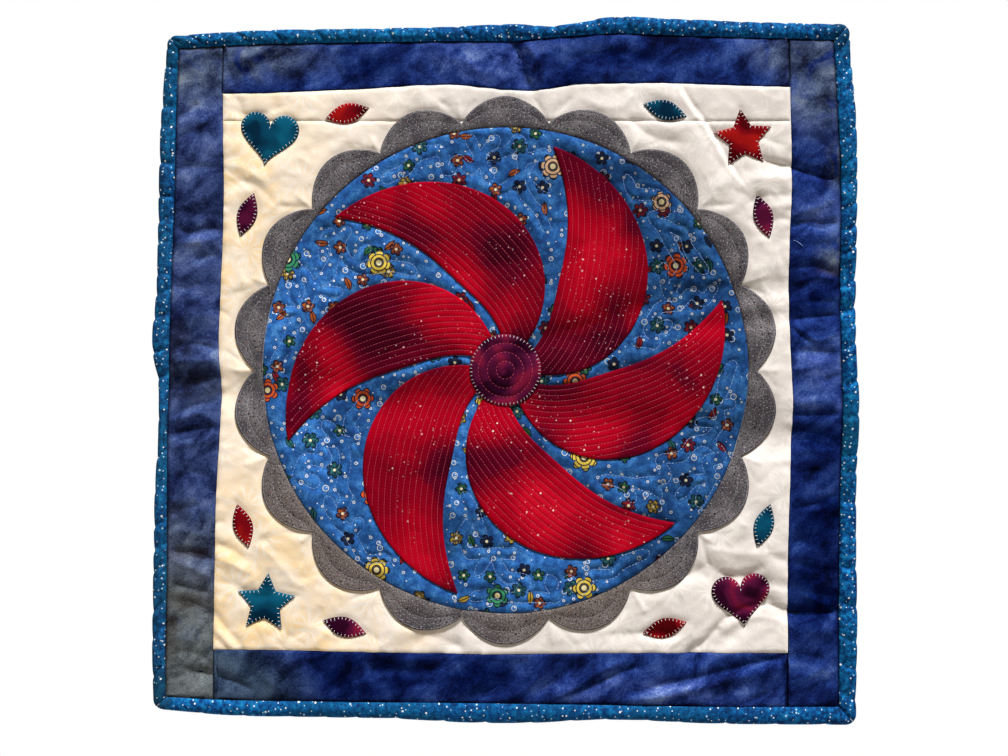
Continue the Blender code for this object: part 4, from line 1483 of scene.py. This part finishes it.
def flower(paint, size, scatter, share, reach, petals, vector=None):
    """Scattered flowers: masks of their dark outlines and petals, the way to the middle, which
    cells have one, and the cells' random colours."""
    own, random = paint.cells(size, scatter, vector)
    turn = paint.turn_of(own, random[0])
    petals = paint.math("FLOOR", paint.scaled(random[1], 1.99, float(petals)))
    wave = paint.absolute(paint.math("COSINE", paint.times(turn, paint.times(petals, 0.5))))
    edge = paint.scaled(paint.math("POWER", wave, 0.55), 0.46 * reach, 0.54 * reach)
    edge = paint.times(edge, paint.scaled(random[1], 0.3, 0.85))
    away = paint.length(own)
    gap = paint.minus(away, edge)
    chosen = paint.math("LESS_THAN", random[2], share)
    dark = paint.times(paint.step(gap, 0.4, -0.2), chosen)
    light = paint.times(paint.step(gap, -0.6, -1.1), chosen)
    return dark, light, away, chosen, random


def leaflets(paint, size, share, long, wide, vector):
    """Scattered pointed leaves: masks of their dark outlines and blades, and random colours."""
    own, random = paint.cells(size, 0.8, vector)
    spin = paint.node("ShaderNodeVectorRotate", rotation_type="Z_AXIS")
    paint.link(own, spin.inputs["Vector"])
    paint.link(paint.times(random[0], FULL_TURN), spin.inputs["Angle"])
    x, z = paint.split(spin.outputs[0])
    along = paint.math("DIVIDE", x, long)
    squared = paint.times(along, along)
    bow = paint.absolute(paint.scaled(squared, 0.8, z))
    gap = paint.minus(bow, paint.times(paint.minus(1.0, squared), wide))
    chosen = paint.math("LESS_THAN", random[2], share)
    dark = paint.times(paint.step(gap, 0.3, -0.2), chosen)
    light = paint.times(paint.step(gap, -0.4, -0.8), chosen)
    return dark, paint.times(light, paint.step(bow, 0.2, 0.5)), random


def bubbles(paint, base, size, low, high, share, shift):
    """Scattered ringed dots with a shaded rim and a gleam, laid over the base."""
    own, random = paint.cells(size, 0.95, paint.moved(shift=(shift, shift / 2)))
    rim = paint.minus(paint.length(own), paint.scaled(random[1], high - low, low))
    gleam = paint.length(paint.vector("SUBTRACT", own, (0.4 * low, 0.4 * low, 0.0)))
    chosen = paint.math("LESS_THAN", random[0], share)
    for mask, strength, colour in (
        (paint.step(rim, 1.0, 0.4), 0.75, 0x14305E),
        (paint.step(rim, 0.0, -0.5), 1.0, 0x3E7CC8),
        (paint.step(paint.absolute(rim), 0.40, 0.14), 0.9, 0xE6EEF6),
        (paint.step(gleam, 0.42 * low, 0.15 * low), 1.0, 0xF6FAFF),
    ):
        base = paint.over(base, colour, paint.times(mask, chosen), strength)
    return base


PRINT_INK = 0x0E1428
SMALL_HUES = (
    (0.0, 0x2F6A44), (0.18, 0xA45428), (0.34, 0x222C46), (0.5, 0xB09438), (0.64, 0x8A2228), (0.8, 0x2C6668)
)
LARGE_HUES = ((0.0, 0xEBC096), (0.3, 0xDC5C2A), (0.55, 0xE2C64E), (0.75, 0x3A8E62))


def print_paint():
    """Blue cotton printed with bubbles, dots, leaflets and two sizes of flowers, with painted shade
    darkening it towards the right.
    """
    paint = Paint("blue_print", roughness=0.86, specular=0.05)
    value = paint.stirred(paint.noise(7.0, 4.0, 0.62, 0.1), paint.noise(45, 2.0), 0.3)
    base = paint.ramp(value, ((0.32, 0x245092), (0.45, 0x2C64AC), (0.55, 0x3674BE), (0.70, 0x4C8CD2)))
    base = paint.over(base, 0x1F4684, paint.step(paint.noise(1.6, 3.0, 0.65), 0.46, 0.62), 0.55)
    base = bubbles(paint, base, 14.0, 1.4, 2.2, 0.5, 0.0)
    base = bubbles(paint, base, 9.0, 0.6, 1.05, 0.5, 21.0)
    small, _ = dots(paint, 10.0, 0.3, 0.55, 0.6, vector=paint.moved(shift=(5.0, 2.0)))
    base = paint.over(base, 0xF2F7FA, small)
    dark, light, random = leaflets(paint, 27.0, 0.55, 5.6, 2.5, paint.moved(shift=(13.0, 41.0)))
    base = paint.over(base, PRINT_INK, dark)
    base = paint.over(base, paint.ramp(random[1], SMALL_HUES, "CONSTANT"), light)
    dark, light, away, chosen, random = flower(paint, 22.0, 0.7, 0.7, 5.6, 5)
    base = paint.over(base, PRINT_INK, dark)
    hue = paint.ramp(random[1], SMALL_HUES, "CONSTANT")
    hue = paint.over(hue, 0x131C3A, paint.step(paint.noise(1.9, 1.0), 0.44, 0.52), 0.85)
    base = paint.over(base, hue, light)
    base = paint.over(base, 0xEFE2BC, paint.times(paint.step(away, 1.3, 0.8), chosen))
    apart = paint.moved(shift=(31.0, 12.0))
    dark, light, away, chosen, random = flower(paint, 76.0, 0.55, 0.8, 9.5, 6, apart)
    base = paint.over(base, PRINT_INK, dark)
    hue = paint.ramp(random[0], LARGE_HUES, "CONSTANT")
    hue = paint.over(hue, 0x1A2240, paint.step(paint.math("SINE", paint.times(away, 2.3)), 0.45, 0.65))
    base = paint.over(base, hue, light)
    base = paint.over(base, PRINT_INK, paint.times(paint.step(away, 3.2, 2.7), chosen))
    base = paint.over(base, 0xF2E4B2, paint.times(paint.step(away, 2.3, 1.8), chosen))
    base = paint.brightened(base, paint.noise(0.9, 2.0, 0.6), 0.82, 1.16)
    base = paint.brightened(base, paint.noise(80, 2.0, 0.5, 0.4), 0.1, 1.75)
    # painted shade: the print darker towards the right, where the light falls off
    base = paint.brightened(base, paint.step(paint.x, 190.0, -90.0), 0.62, 1.0)
    paint.weave(0.05)
    return paint.colour(base)


def dyed_paint(name, stops, spread=70.0, specks=True, seed=0.0):
    """Hand-dyed cotton that runs from one colour to another, with clusters of pale specks."""
    paint = Paint(name, roughness=0.85, specular=0.03)
    value = paint.noise(spread, 1.6, 0.4, 0.2, paint.moved(shift=(seed, seed / 3)))
    base = paint.ramp(paint.stirred(value, paint.noise(6, 3.0, 0.6), 0.10), stops)
    if specks:
        cluster = paint.step(paint.noise(42, 1.5, vector=paint.moved(shift=(seed, 55.0))), 0.48, 0.62)
        for size, low, high, share in ((4.6, 0.12, 0.36, 0.5), (11.0, 0.35, 0.75, 0.42)):
            mask, random = dots(paint, size, low, high, share, vector=paint.moved(shift=(seed + size, 0.0)))
            base = paint.over(base, paint.mix(random[2], 0xE39AB0, 0xFFF6F4), paint.times(mask, cluster))
    base = paint.brightened(base, paint.noise(0.9, 2.0, 0.6), 0.86, 1.14)
    paint.weave(0.04)
    return paint.colour(base)


def grey_paint():
    """Grey cotton, browner below, with dark and pale flecks and dots."""
    paint = Paint("speckled_grey", roughness=0.9, specular=0.1)
    base = paint.ramp(paint.noise(20, 2.5), ((0.35, 0x4E4A50), (0.55, 0x625E62), (0.70, 0x787478)))
    base = paint.over(base, 0x7E7066, paint.spots((-150, -400, 130, 110), (60, -440, 120, 60)), 0.6)
    base = paint.over(base, 0x34333A, paint.step(paint.noise(1.15, 2.0, 0.6), 0.54, 0.62))
    pale = paint.noise(1.3, 2.0, 0.6, vector=paint.moved(shift=(70.0, 9.0)))
    base = paint.over(base, 0xA09EA0, paint.step(pale, 0.62, 0.70))
    for size, low, high, share, colour in ((5.0, 0.3, 0.7, 0.5, 0x17171C), (7.5, 0.2, 0.5, 0.5, 0x8A5A44)):
        mask, _ = dots(paint, size, low, high, share)
        base = paint.over(base, colour, mask)
    paint.weave(0.05)
    return paint.colour(base)


def thread_paint(name, code):
    paint = Paint(name, roughness=0.6, specular=0.4)
    paint.shader.inputs["Sheen Weight"].default_value = 0.1
    paint.shader.inputs["Sheen Roughness"].default_value = 0.6
    return paint.colour(paint.brightened(linear(code), paint.noise(1.1, 2.0), 0.8, 1.2))


CREAM, INDIGO, NAVY = cream_paint(), border_paint(), back_paint()
TEAL_BLUE, BLUE, GREY = binding_paint(), print_paint(), grey_paint()
CRIMSON = dyed_paint(
    "hand_dyed_crimson",
    ((0.26, 0x3A0014), (0.38, 0x5A001A), (0.48, 0x800018), (0.60, 0xA4001C), (0.74, 0xC40824)),
)
DYED = {
    name: dyed_paint(f"dyed_{name}", tuple(zip((0.35, 0.50, 0.66), colours)), 22, False, seed)
    for name, seed, colours in (
        ("teal", 0.0, (0x03263E, 0x063F5A, 0x0A5674)),
        ("red", 40.0, (0x4C0208, 0x760612, 0x9C1212)),
        ("plum", 80.0, (0x2C0420, 0x520F34, 0x7C1638)),
    )
}
PALE_THREAD = thread_paint("pale_thread", 0xE6E6E2)
BLUE_THREAD = thread_paint("pale_blue_thread", 0x94B8EE)
GREY_THREAD = thread_paint("grey_thread", 0xA09EA4)
PINK_THREAD = thread_paint("rose_thread", 0xC43C5A)

# ---------------------------------------------------------------- the pieces


def declare(flat, area, node=None):
    """Hides the CAD part named by node, if any. The flat size and area in metres are worked out but not
    kept.
    """
    if node:
        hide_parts(node)
    width, length = (float(value) for value in flat)
    area = min(float(area), width * length)


def seam_line(side, inset):
    """The border's seam, left to right or top to bottom. An upright one runs on to the edges."""
    line = column_line(side, "seam", 0.0, 1.2)
    if side not in LEVEL_SIDES:
        parts = [line]
        for level, end in (("top", 0), ("bottom", -1)):
            edge = side_values(level, "edge", line[end, 0]) - OUTWARD[level] * CORE_INSET
            more = side_points(side, "seam", np.linspace(line[end, 1], edge, 32)[1:])
            parts = [more[::-1], *parts] if end == 0 else [*parts, more]
        line = np.concatenate(parts)
    return side_points(side, "seam", line[:, AXIS[side]], inset)


def between(line, axis, low, high):
    """The stretch of a line between two places along an axis, cut to them and sorted along it."""
    line = line[np.argsort(line[:, axis])]
    keys, others = line[:, axis], line[:, 1 - axis]
    ends = np.clip((low, high), keys[0], keys[-1])
    cut = np.interp(ends, keys, others)
    first, last = (np.array((at, c) if axis == 0 else (c, at)) for at, c in zip(ends, cut))
    kept = line[(keys > ends[0] + 0.3) & (keys < ends[1] - 0.3)]
    return np.concatenate(([first], kept, [last]))


def without_repeats(outline):
    away = np.linalg.norm(outline - np.roll(outline, 1, axis=0), axis=1)
    return outline[away > 0.05]


UPRIGHT_SEAMS = [seam_line(side, GAP / 2) for side in ("left", "right")]


def level_seam(side, inset):
    """The seam of the top or bottom border between the seams of the upright ones."""
    z = side_values(side, "seam", 0.0)
    ends = [line[np.argmin(np.abs(line[:, 1] - z)), 0] for line in UPRIGHT_SEAMS]
    return between(seam_line(side, inset), 0, *ends)


def upright_outline(side, core):
    """The left or right border: the quilt's raw edge outside its seam, and the seam."""
    seam = seam_line(side, -GAP / 2)
    outer = (core[:, 0] - np.interp(core[:, 1], seam[::-1, 1], seam[::-1, 0])) * OUTWARD[side] > 0.3
    first = int(np.argmax(outer & ~np.roll(outer, 1)))
    run = np.roll(core, -first, axis=0)[: int(np.argmin(np.roll(outer, -first)))]
    if np.linalg.norm(run[-1] - seam[0]) > np.linalg.norm(run[-1] - seam[-1]):
        seam = seam[::-1]
    return without_repeats(np.concatenate((run, seam)))


def level_outline(side):
    """The top or bottom border, between the upright ones."""
    end = 0 if side == "top" else -1
    outer = between(edge_line(side, CORE_INSET, 1.6), 0, *(line[end, 0] for line in UPRIGHT_SEAMS))
    return without_repeats(np.concatenate((outer, level_seam(side, -GAP / 2)[::-1])))


def wadding_back(points):
    """The back of the wadding, which the back cloth covers."""
    return quilt_back(points, cover=0.9)


def make_grounds():
    """The two cream pieces of the panel, above and below the seam between them."""

    def hidden(points):
        return from_centre(points) < DISC_RADIUS - 4

    for name, side, end in (("ground_upper", "top", 0), ("ground_lower", "bottom", -1)):
        seam = level_seam(side, GAP / 2)
        height = GROUND_SEAM + OUTWARD[side] * GAP / 2
        left, right = (
            between(line, 1, *sorted((height, corner_z)))
            for line, corner_z in zip(UPRIGHT_SEAMS, (seam[0, 1], seam[-1, 1]))
        )
        cut = np.linspace(left[end], right[end], 260)
        lower, upper = (cut, seam) if side == "top" else (seam, cut)
        outline = without_repeats(np.concatenate((lower, right[1:-1], upper[::-1], left[1:-1][::-1])))
        obj, flat, area = cloth(
            f"cloth_{name}", CREAM, outline, cream_front, wadding_back, 1.4,
            edge_reach=2.8, coarse=hidden, soft=True,
        )
        declare(flat, area, name)


def mark_ditch_shade(obj):
    """Gives each point how deep it lies in the ditch by the binding, from 0 to 1, for the painted shade
    there.
    """
    places = np.empty(3 * len(obj.data.vertices))
    obj.data.vertices.foreach_get("co", places)
    places = places.reshape(-1, 3)[:, ::2] / MM + (0.0, TOP_MIDDLE)
    marks = obj.data.attributes.new("ditch", "FLOAT", "POINT")
    marks.data.foreach_set("value", bell(openness(places) / 0.32))


def make_borders():
    """The four borders. The upright ones run the whole height."""
    core = around({side: edge_line(side, CORE_INSET, 1.6) for side in SIDES})
    for side in ("left", "right", *LEVEL_SIDES):
        outline = level_outline(side) if side in LEVEL_SIDES else upright_outline(side, core)
        obj, flat, area = cloth(
            f"cloth_border_{side}", INDIGO, outline, border_front, wadding_back, 1.3,
            edge_drop=1.1, edge_reach=1.8,
        )
        mark_ditch_shade(obj)
        declare(flat, area, f"border_{side}")


def make_back():
    """The plain cloth on the back, with the relief of the medallion's quilting."""
    outline = around({side: edge_line(side, CORE_INSET + 0.6, 3.0) for side in SIDES})
    quilting = Lines([*STIPPLE, circle(DISC_RADIUS), SCALLOP])

    def outer(points):
        away = np.minimum(quilting.distance(points), 8)
        relief = 0.9 * puffed(away, 4) + 0.35 * BROAD(points) + 0.25 * MEDIUM(points)
        opened = openness(points)
        return quilt_middle(points) - HALF_QUILT * pinched(opened) - relief * opened

    def inner(points):
        return quilt_back(points, cover=0.7)

    obj, flat, area = cloth(
        "cloth_back", NAVY, outline, inner, outer, 12.0, edge_drop=0.1, edge_reach=0.6, back_step=4.2
    )
    declare(flat, area)


def behind_applique(points):
    return drape(points) + BEHIND_APPLIQUE


def make_disc():
    def hidden(points):
        return inside_any(points, BLADE_OUTLINES) & (BLADE_LINES.distance(points) > 4)

    outline = circle(DISC_RADIUS, 1.2)
    disc, flat, area = cloth("cloth_disc", BLUE, outline, disc_front, behind_applique, 1.5, coarse=hidden)
    lines = [closed_up(line) for line in STIPPLE]
    thread = stitches("thread_stipple", BLUE_THREAD, lines, disc_front, pitch=2.6, length=2.55, radius=0.15)
    declare(flat, area, "disc")


def make_scallop_ring():
    hole = circle(DISC_RADIUS + GAP, 1.2)
    ring, _, area = cloth("cloth_scallop_ring", GREY, SCALLOP, ring_front, behind_applique, 1.5, hole=hole)
    lines = [*scallop_echo(), closed_up(scallop_outline(shrink=1.3))]
    thread = stitches("thread_ring", GREY_THREAD, lines, ring_front, pitch=2.5, radius=0.12)
    strip = np.array((SCALLOP_VALLEY + SCALLOP_DEPTH - DISC_RADIUS, FULL_TURN * DISC_RADIUS)) * MM
    declare(strip, area, "scallop_ring")


def make_hub():
    def behind(points):
        return drape(points) + BEHIND_HUB

    hub, flat, area = cloth("cloth_hub", DYED["plum"], circle(HUB_RADIUS, 0.9), hub_front, behind, 1.0)
    rings = [closed_up(circle(HUB_RADIUS - HUB_STEP * i, 0.8)) for i in (1, 2, 3)]
    threads = [
        stitches("thread_hub", PINK_THREAD, rings, hub_front),
        ticks("ticks_hub", circle(HUB_RADIUS, 0.8), hub_front),
    ]
    declare(flat, area, "hub")


def make_motif(motif):
    outline = MOTIF_OUTLINES[motif.name]
    front = motif_front(outline)
    obj, flat, area = cloth(f"cloth_{motif.name}", DYED[motif.colour], outline, front, behind_applique, 1.1)
    edge = ticks(f"ticks_{motif.name}", outline, front)
    declare(flat, area, motif.name)


def blade_depth(points, start):
    """Each point's distance from a blade's left edge across the blade, and the width there."""
    places, aside, half = blade_frame(np.linspace(0, 1, 400), start)
    near = np.array([np.argmin(((places - point) ** 2).sum(1)) for point in points])
    offset = ((points - places[near]) * aside[near]).sum(1)
    return half[near] - offset, 2 * half[near]


def blade_faces(steps, rows, columns):
    """Faces of a grid of rows + 1 points by steps + 1, over a coarser one behind it."""
    shift, wide = (steps + 1) * (rows + 1), len(columns)
    faces = []
    for i in range(steps):
        a, b = i * (rows + 1), shift + i * wide
        faces += [(a + j, a + j + rows + 1, a + j + rows + 2, a + j + 1) for j in range(rows)]
        faces += [(b + j + 1, b + j + wide + 1, b + j + wide, b + j) for j in range(wide - 1)]
        faces.append((a + rows + 1, a, b, b + wide))
        faces.append((a + rows, a + 2 * rows + 1, b + 2 * wide - 1, b + wide - 1))
    last, under = steps * (rows + 1), shift + steps * wide
    root = [*range(rows + 1), *range(shift + wide - 1, shift - 1, -1)]
    tip = [*range(last + rows, last - 1, -1), *range(under, under + wide)]
    return [*faces, root, tip]


def blade_body(start, steps=110, rows=92, back_step=4):
    """A blade's points and faces, and its flat size and area in metres. The mesh is finer across
    the blade than along it, and finer in front than behind."""
    places, aside, half = blade_frame(np.linspace(0.0, 0.998, steps + 1), start)
    turn = np.linspace(-math.pi / 2, math.pi / 2, rows + 1)
    across = 0.85 * turn / (math.pi / 2) + 0.15 * np.sin(turn)  # closer together at the edges
    flat = places[:, None] + aside[:, None] * (half[:, None] * across[None])[:, :, None]
    depth = half[:, None] * (1 - across[None])
    width = np.broadcast_to(2 * half[:, None], depth.shape)
    points = flat.reshape(-1, 2)
    high = blade_front(points, depth.ravel(), width.ravel()).reshape(depth.shape)
    high -= 0.9 * rounding(np.minimum(np.minimum(depth, width - depth) / 1.4, 1))
    high -= 0.7 * np.clip((HUB_RADIUS + 0.5 - from_centre(points).reshape(depth.shape)) / 2.0, 0, 1)
    columns = range(0, rows + 1, back_step)
    behind = flat[:, columns].reshape(-1, 2)
    vertices = np.concatenate((world(points, high.ravel()), world(behind, drape(behind) + BEHIND_BLADE)))
    run = run_along(places)
    area = np.sum(np.diff(run) * (half[1:] + half[:-1]))
    return vertices, blade_faces(steps, rows, columns), (2 * half.max() * MM, run[-1] * MM), area * MM * MM


def make_blade(number, start):
    vertices, faces, flat, area = blade_body(start)
    obj = new_object(f"cloth_blade_{number}", vertices, faces, CRIMSON)

    def front(points):
        return blade_front(points, *blade_depth(points, start))

    lines = echo_lines(start)
    thread = stitches(
        f"thread_blade_{number}", PINK_THREAD, lines, front, pitch=2.4, length=2.2, radius=0.13
    )
    declare(flat, area, f"blade_{number}")


# ---------------------------------------------------------------- the binding

PUCKER_STEP = {"left": 21, "top": 23, "right": 20, "bottom": 27}
PUCKER_DEPTH = {"left": 2.8, "top": 1.9, "right": 2.7, "bottom": 1.8}
PUCKER_SLANT = {"left": 5.0, "top": -11.0, "right": -5.0, "bottom": -9.0}
BINDING_HALF = 3.4  # half of the rolled binding's thickness
BINDING_LEAST = 0.95  # half of its thickness in a pucker
BINDING_TURNED = 4.0  # the turned-in edges, added to its flat width
MITRE_GAP = 0.16


def binding_profile(share):
    """The rolled edge's height over the quilt's middle, from the ditch at 0 to the fold at 1."""
    inner = 1.0 + (BINDING_HALF - 1.0) * np.sin(math.pi / 2 * np.clip(share / 0.5, 0, 1)) ** 0.8
    outer = BINDING_HALF * np.sqrt(np.maximum(0, 1 - (np.clip((share - 0.5) / 0.5, 0, 1)) ** 2.1))
    return np.where(share < 0.5, inner, outer)


def binding_lines(side):
    """The fold and the ditch of one side's binding, point for point, a little short of its
    neighbours."""
    lines = resampled(edge_line(side, 0.0), 1.1), resampled(column_line(side, "ditch"), 1.1)
    count = min(len(line) for line in lines)
    lines = [resampled(line, run_along(line)[-1] / count) for line in lines]
    count = min(len(line) for line in lines)
    sign = 1 if side in LEVEL_SIDES else -1
    outer, ditch = (line[:count] for line in lines)
    for line in (outer, ditch):
        line[0, AXIS[side]] += sign * MITRE_GAP
        line[-1, AXIS[side]] -= sign * MITRE_GAP
    return outer, ditch


def binding_puckers(side, total):
    """Random puckers along one side: place, depth, slope and breadth."""
    rng = np.random.default_rng(50 + len(side))
    found = []
    at = rng.uniform(4, 12)
    while at < total - 5:
        found.append((at, rng.uniform(0.45, 1.2), rng.uniform(0.6, 1.25), rng.uniform(0.6, 1.5)))
        at += PUCKER_STEP[side] * rng.uniform(0.55, 1.45)
    return found


def make_binding(side):
    """A rolled strip with slanting puckers, hollow round the quilt's raw edge."""
    outer, ditch = binding_lines(side)
    along = run_along(ditch)
    total = along[-1]
    width = np.linalg.norm(outer - ditch, axis=1)
    inward = (ditch - outer) / width[:, None]
    puckers = binding_puckers(side, total)

    def roll(shares, facing):
        """Flat places, the quilt's middle there and the skin's rise from it, at these shares of
        the width."""
        share, run = np.meshgrid(shares, along)
        crease = np.zeros(share.shape)
        for at, deep, slope, broad in puckers:
            away = run - at - PUCKER_SLANT[side] * slope * (share - 0.5)
            away = np.where(away > 0, away / (1.2 * broad), -away / (4.5 * broad))
            crease = np.maximum(crease, deep * np.exp(-away))
        crease = PUCKER_DEPTH[side] * crease
        flat = ditch[:, None] + share[:, :, None] * (outer - ditch)[:, None]
        squeeze = 0.5 * (crease - 0.3) * np.clip((share - 0.5) / 0.5, 0, 1) ** 2
        flat = flat + inward[:, None] * squeeze[:, :, None]
        points = flat.reshape(-1, 2)
        window = np.sin(math.pi * np.clip(0.12 + 0.8 * share, 0, 1))
        soft = 0.22 * MEDIUM(points * 1.3).reshape(share.shape)
        rise = binding_profile(share) + (0.5 - crease + soft) * window
        rise *= 1 - 0.42 * bell(np.minimum(run, total - run) / 1.6)
        lowest = BINDING_LEAST - 0.6 * np.clip((share - 0.72) / 0.28, 0, 1)
        rise = lowest + np.log1p(np.exp(6 * (rise - lowest))) / 6
        return flat, quilt_middle(points).reshape(share.shape), np.where(share < 1, rise, 0) * facing

    front = [*np.linspace(0, 0.82, 10), 0.88, 0.93, 0.97]
    back = [0.97, 0.93, 0.87, *np.linspace(0.78, 0, 5)]
    facing = np.array([1.0] * len(front) + [0.0] + [-1.0] * len(back))
    skin, middle, rise = roll(np.array([*front, 1.0, *back]), facing)
    order = np.array((0.0, 0.3, 0.6, 0.84, 0.84, 0.6, 0.3, 0.0))
    facing = np.repeat((-1.0, 1.0), 4)  # from the back's ditch round to the front's
    lining, lining_middle, room = roll(order, facing)
    room = np.where(order > 0.8, 0.5, np.clip(np.abs(room) - 0.3, 0.74, 1.6))
    flat = np.concatenate((skin, lining), axis=1)
    heights = np.concatenate((middle + rise, lining_middle + facing * room), axis=1)
    count, ring = heights.shape
    starts = np.arange(0, count * ring, ring)
    faces = []
    for a, b in zip(starts, starts[1:]):
        faces += [(a + j, b + j, b + (j + 1) % ring, a + (j + 1) % ring) for j in range(ring)]
    faces += [range(ring)[::-1], range(starts[-1], starts[-1] + ring)]
    if side in ("bottom", "left"):
        faces = [face[::-1] for face in faces]
    vertices = world(flat.reshape(-1, 2), heights.ravel())
    obj = new_object(f"cloth_binding_{side}", vertices, faces, TEAL_BLUE, 75)
    flat_width = 2 * width.mean() + BINDING_TURNED
    length = run_along(outer)[-1]
    area = 0.98 * flat_width * length * MM * MM
    declare((flat_width * MM, length * MM), area, f"binding_{side}")


def loose_thread():
    """The short tail of thread by the right border's seam."""

    def front(points):
        return border_front(points) + 0.35

    turn = np.linspace(0, 1, 22)
    line = np.stack((215.5 + 7.0 * turn, -165.0 - 4.5 * turn + 0.7 * np.sin(3.0 * turn)), 1)
    ends = line[1:] + 0.2 * np.diff(line, axis=0)
    return thread_pieces("thread_tail", BLUE_THREAD, line[:-1], ends, front, radius=0.16)


make_grounds()
make_borders()
make_back()
make_disc()
make_scallop_ring()
make_hub()
for motif in MOTIFS:
    make_motif(motif)
for number, start in enumerate(BLADE_STARTS, 1):
    make_blade(number, start)
for side in SIDES:
    make_binding(side)
loose_thread()

# ---------------------------------------------------------------- floor, light and camera

FLOOR_DEPTH = -2.5
FLOOR_RADII = (0.8, 1.6, 2.3)
MIDDLE = Vector((0, 0, -0.265))  # of the hanging, which the lights point at
WORLD_TINT = (1.0, 0.79, 0.52)
WORLD_STRENGTH = 0.13


def make_floor(count=96):
    """A pale disc in three rings."""
    turns = FULL_TURN * np.arange(count) / count
    unit = np.stack((np.cos(turns), np.sin(turns), np.zeros(count)), 1)
    vertices = np.concatenate([unit * radius + (0, 0, FLOOR_DEPTH) for radius in FLOOR_RADII])
    faces = [list(range(count))]
    for ring in range(len(FLOOR_RADII) - 1):
        for i in range(count):
            a, b = ring * count + i, ring * count + (i + 1) % count
            faces.append((a, a + count, b + count, b))
    data = bpy.data.meshes.new("floor")
    data.from_pydata(vertices.tolist(), [], faces)
    material = bpy.data.materials.new("pale_floor")
    material.use_nodes = True
    tree = material.node_tree
    shader = tree.nodes["Principled BSDF"]
    shader.inputs["Roughness"].default_value = 0.95
    grain = tree.nodes.new("ShaderNodeTexNoise")
    grain.inputs["Scale"].default_value = 3.0
    ramp = tree.nodes.new("ShaderNodeValToRGB")
    ramp.color_ramp.elements[0].color = (0.80, 0.79, 0.77, 1)
    ramp.color_ramp.elements[1].color = (0.86, 0.85, 0.84, 1)
    tree.links.new(grain.outputs[0], ramp.inputs[0])
    tree.links.new(ramp.outputs[0], shader.inputs["Base Color"])
    data.materials.append(material)
    floor = placed("floor", data)


def make_light(name, azimuth, elevation, distance, size, power, colour=(1, 1, 1)):
    """A round soft light towards the hanging's middle, its angles in degrees from the front."""
    turn, rise = math.radians(azimuth), math.radians(elevation)
    way = Vector((math.sin(turn) * math.cos(rise), -math.cos(turn) * math.cos(rise), math.sin(rise)))
    data = bpy.data.lights.new(name, "AREA")
    data.shape = "DISK"
    data.size = size
    data.energy = power
    data.color = colour
    lamp = placed(name, data)
    lamp.location = MIDDLE + way * distance
    lamp.rotation_mode = "QUATERNION"
    lamp.rotation_quaternion = (-way).to_track_quat("-Z", "Y")


def make_world():
    """White where the camera sees it, and a dim warm light for the hanging."""
    made = bpy.data.worlds.new("studio")
    made.use_nodes = True
    tree = made.node_tree
    shade = tree.nodes["Background"]
    seen = tree.nodes.new("ShaderNodeLightPath")
    tint = tree.nodes.new("ShaderNodeMix")
    tint.data_type = "RGBA"
    tint.inputs[6].default_value = (*WORLD_TINT, 1.0)
    tint.inputs[7].default_value = (1.0, 1.0, 1.0, 1.0)
    tree.links.new(seen.outputs["Is Camera Ray"], tint.inputs[0])
    tree.links.new(tint.outputs[2], shade.inputs["Color"])
    strength = tree.nodes.new("ShaderNodeMapRange")
    strength.inputs[3].default_value = WORLD_STRENGTH
    strength.inputs[4].default_value = 1.0
    tree.links.new(seen.outputs["Is Camera Ray"], strength.inputs[0])
    tree.links.new(strength.outputs[0], shade.inputs["Strength"])
    bpy.context.scene.world = made


make_floor()
make_world()
make_light("key", 24, 65, 14.0, 2.4, 3500, (1.0, 0.99, 0.985))
make_light("fill", -30, 10, 4.0, 2.4, 8, (1.0, 0.93, 0.85))
make_light("behind", 190, 35, 4.0, 2.0, 110)

camera_data = bpy.data.cameras.new("camera")
camera_data.lens = 50
camera_data.sensor_width = 36
camera = placed("camera", camera_data)
camera.location = (-0.0015, -1.058, -0.2659)
camera.rotation_euler = (math.pi / 2, 0, 0)
bpy.context.scene.camera = camera
bpy.context.scene.view_settings.view_transform = "Standard"
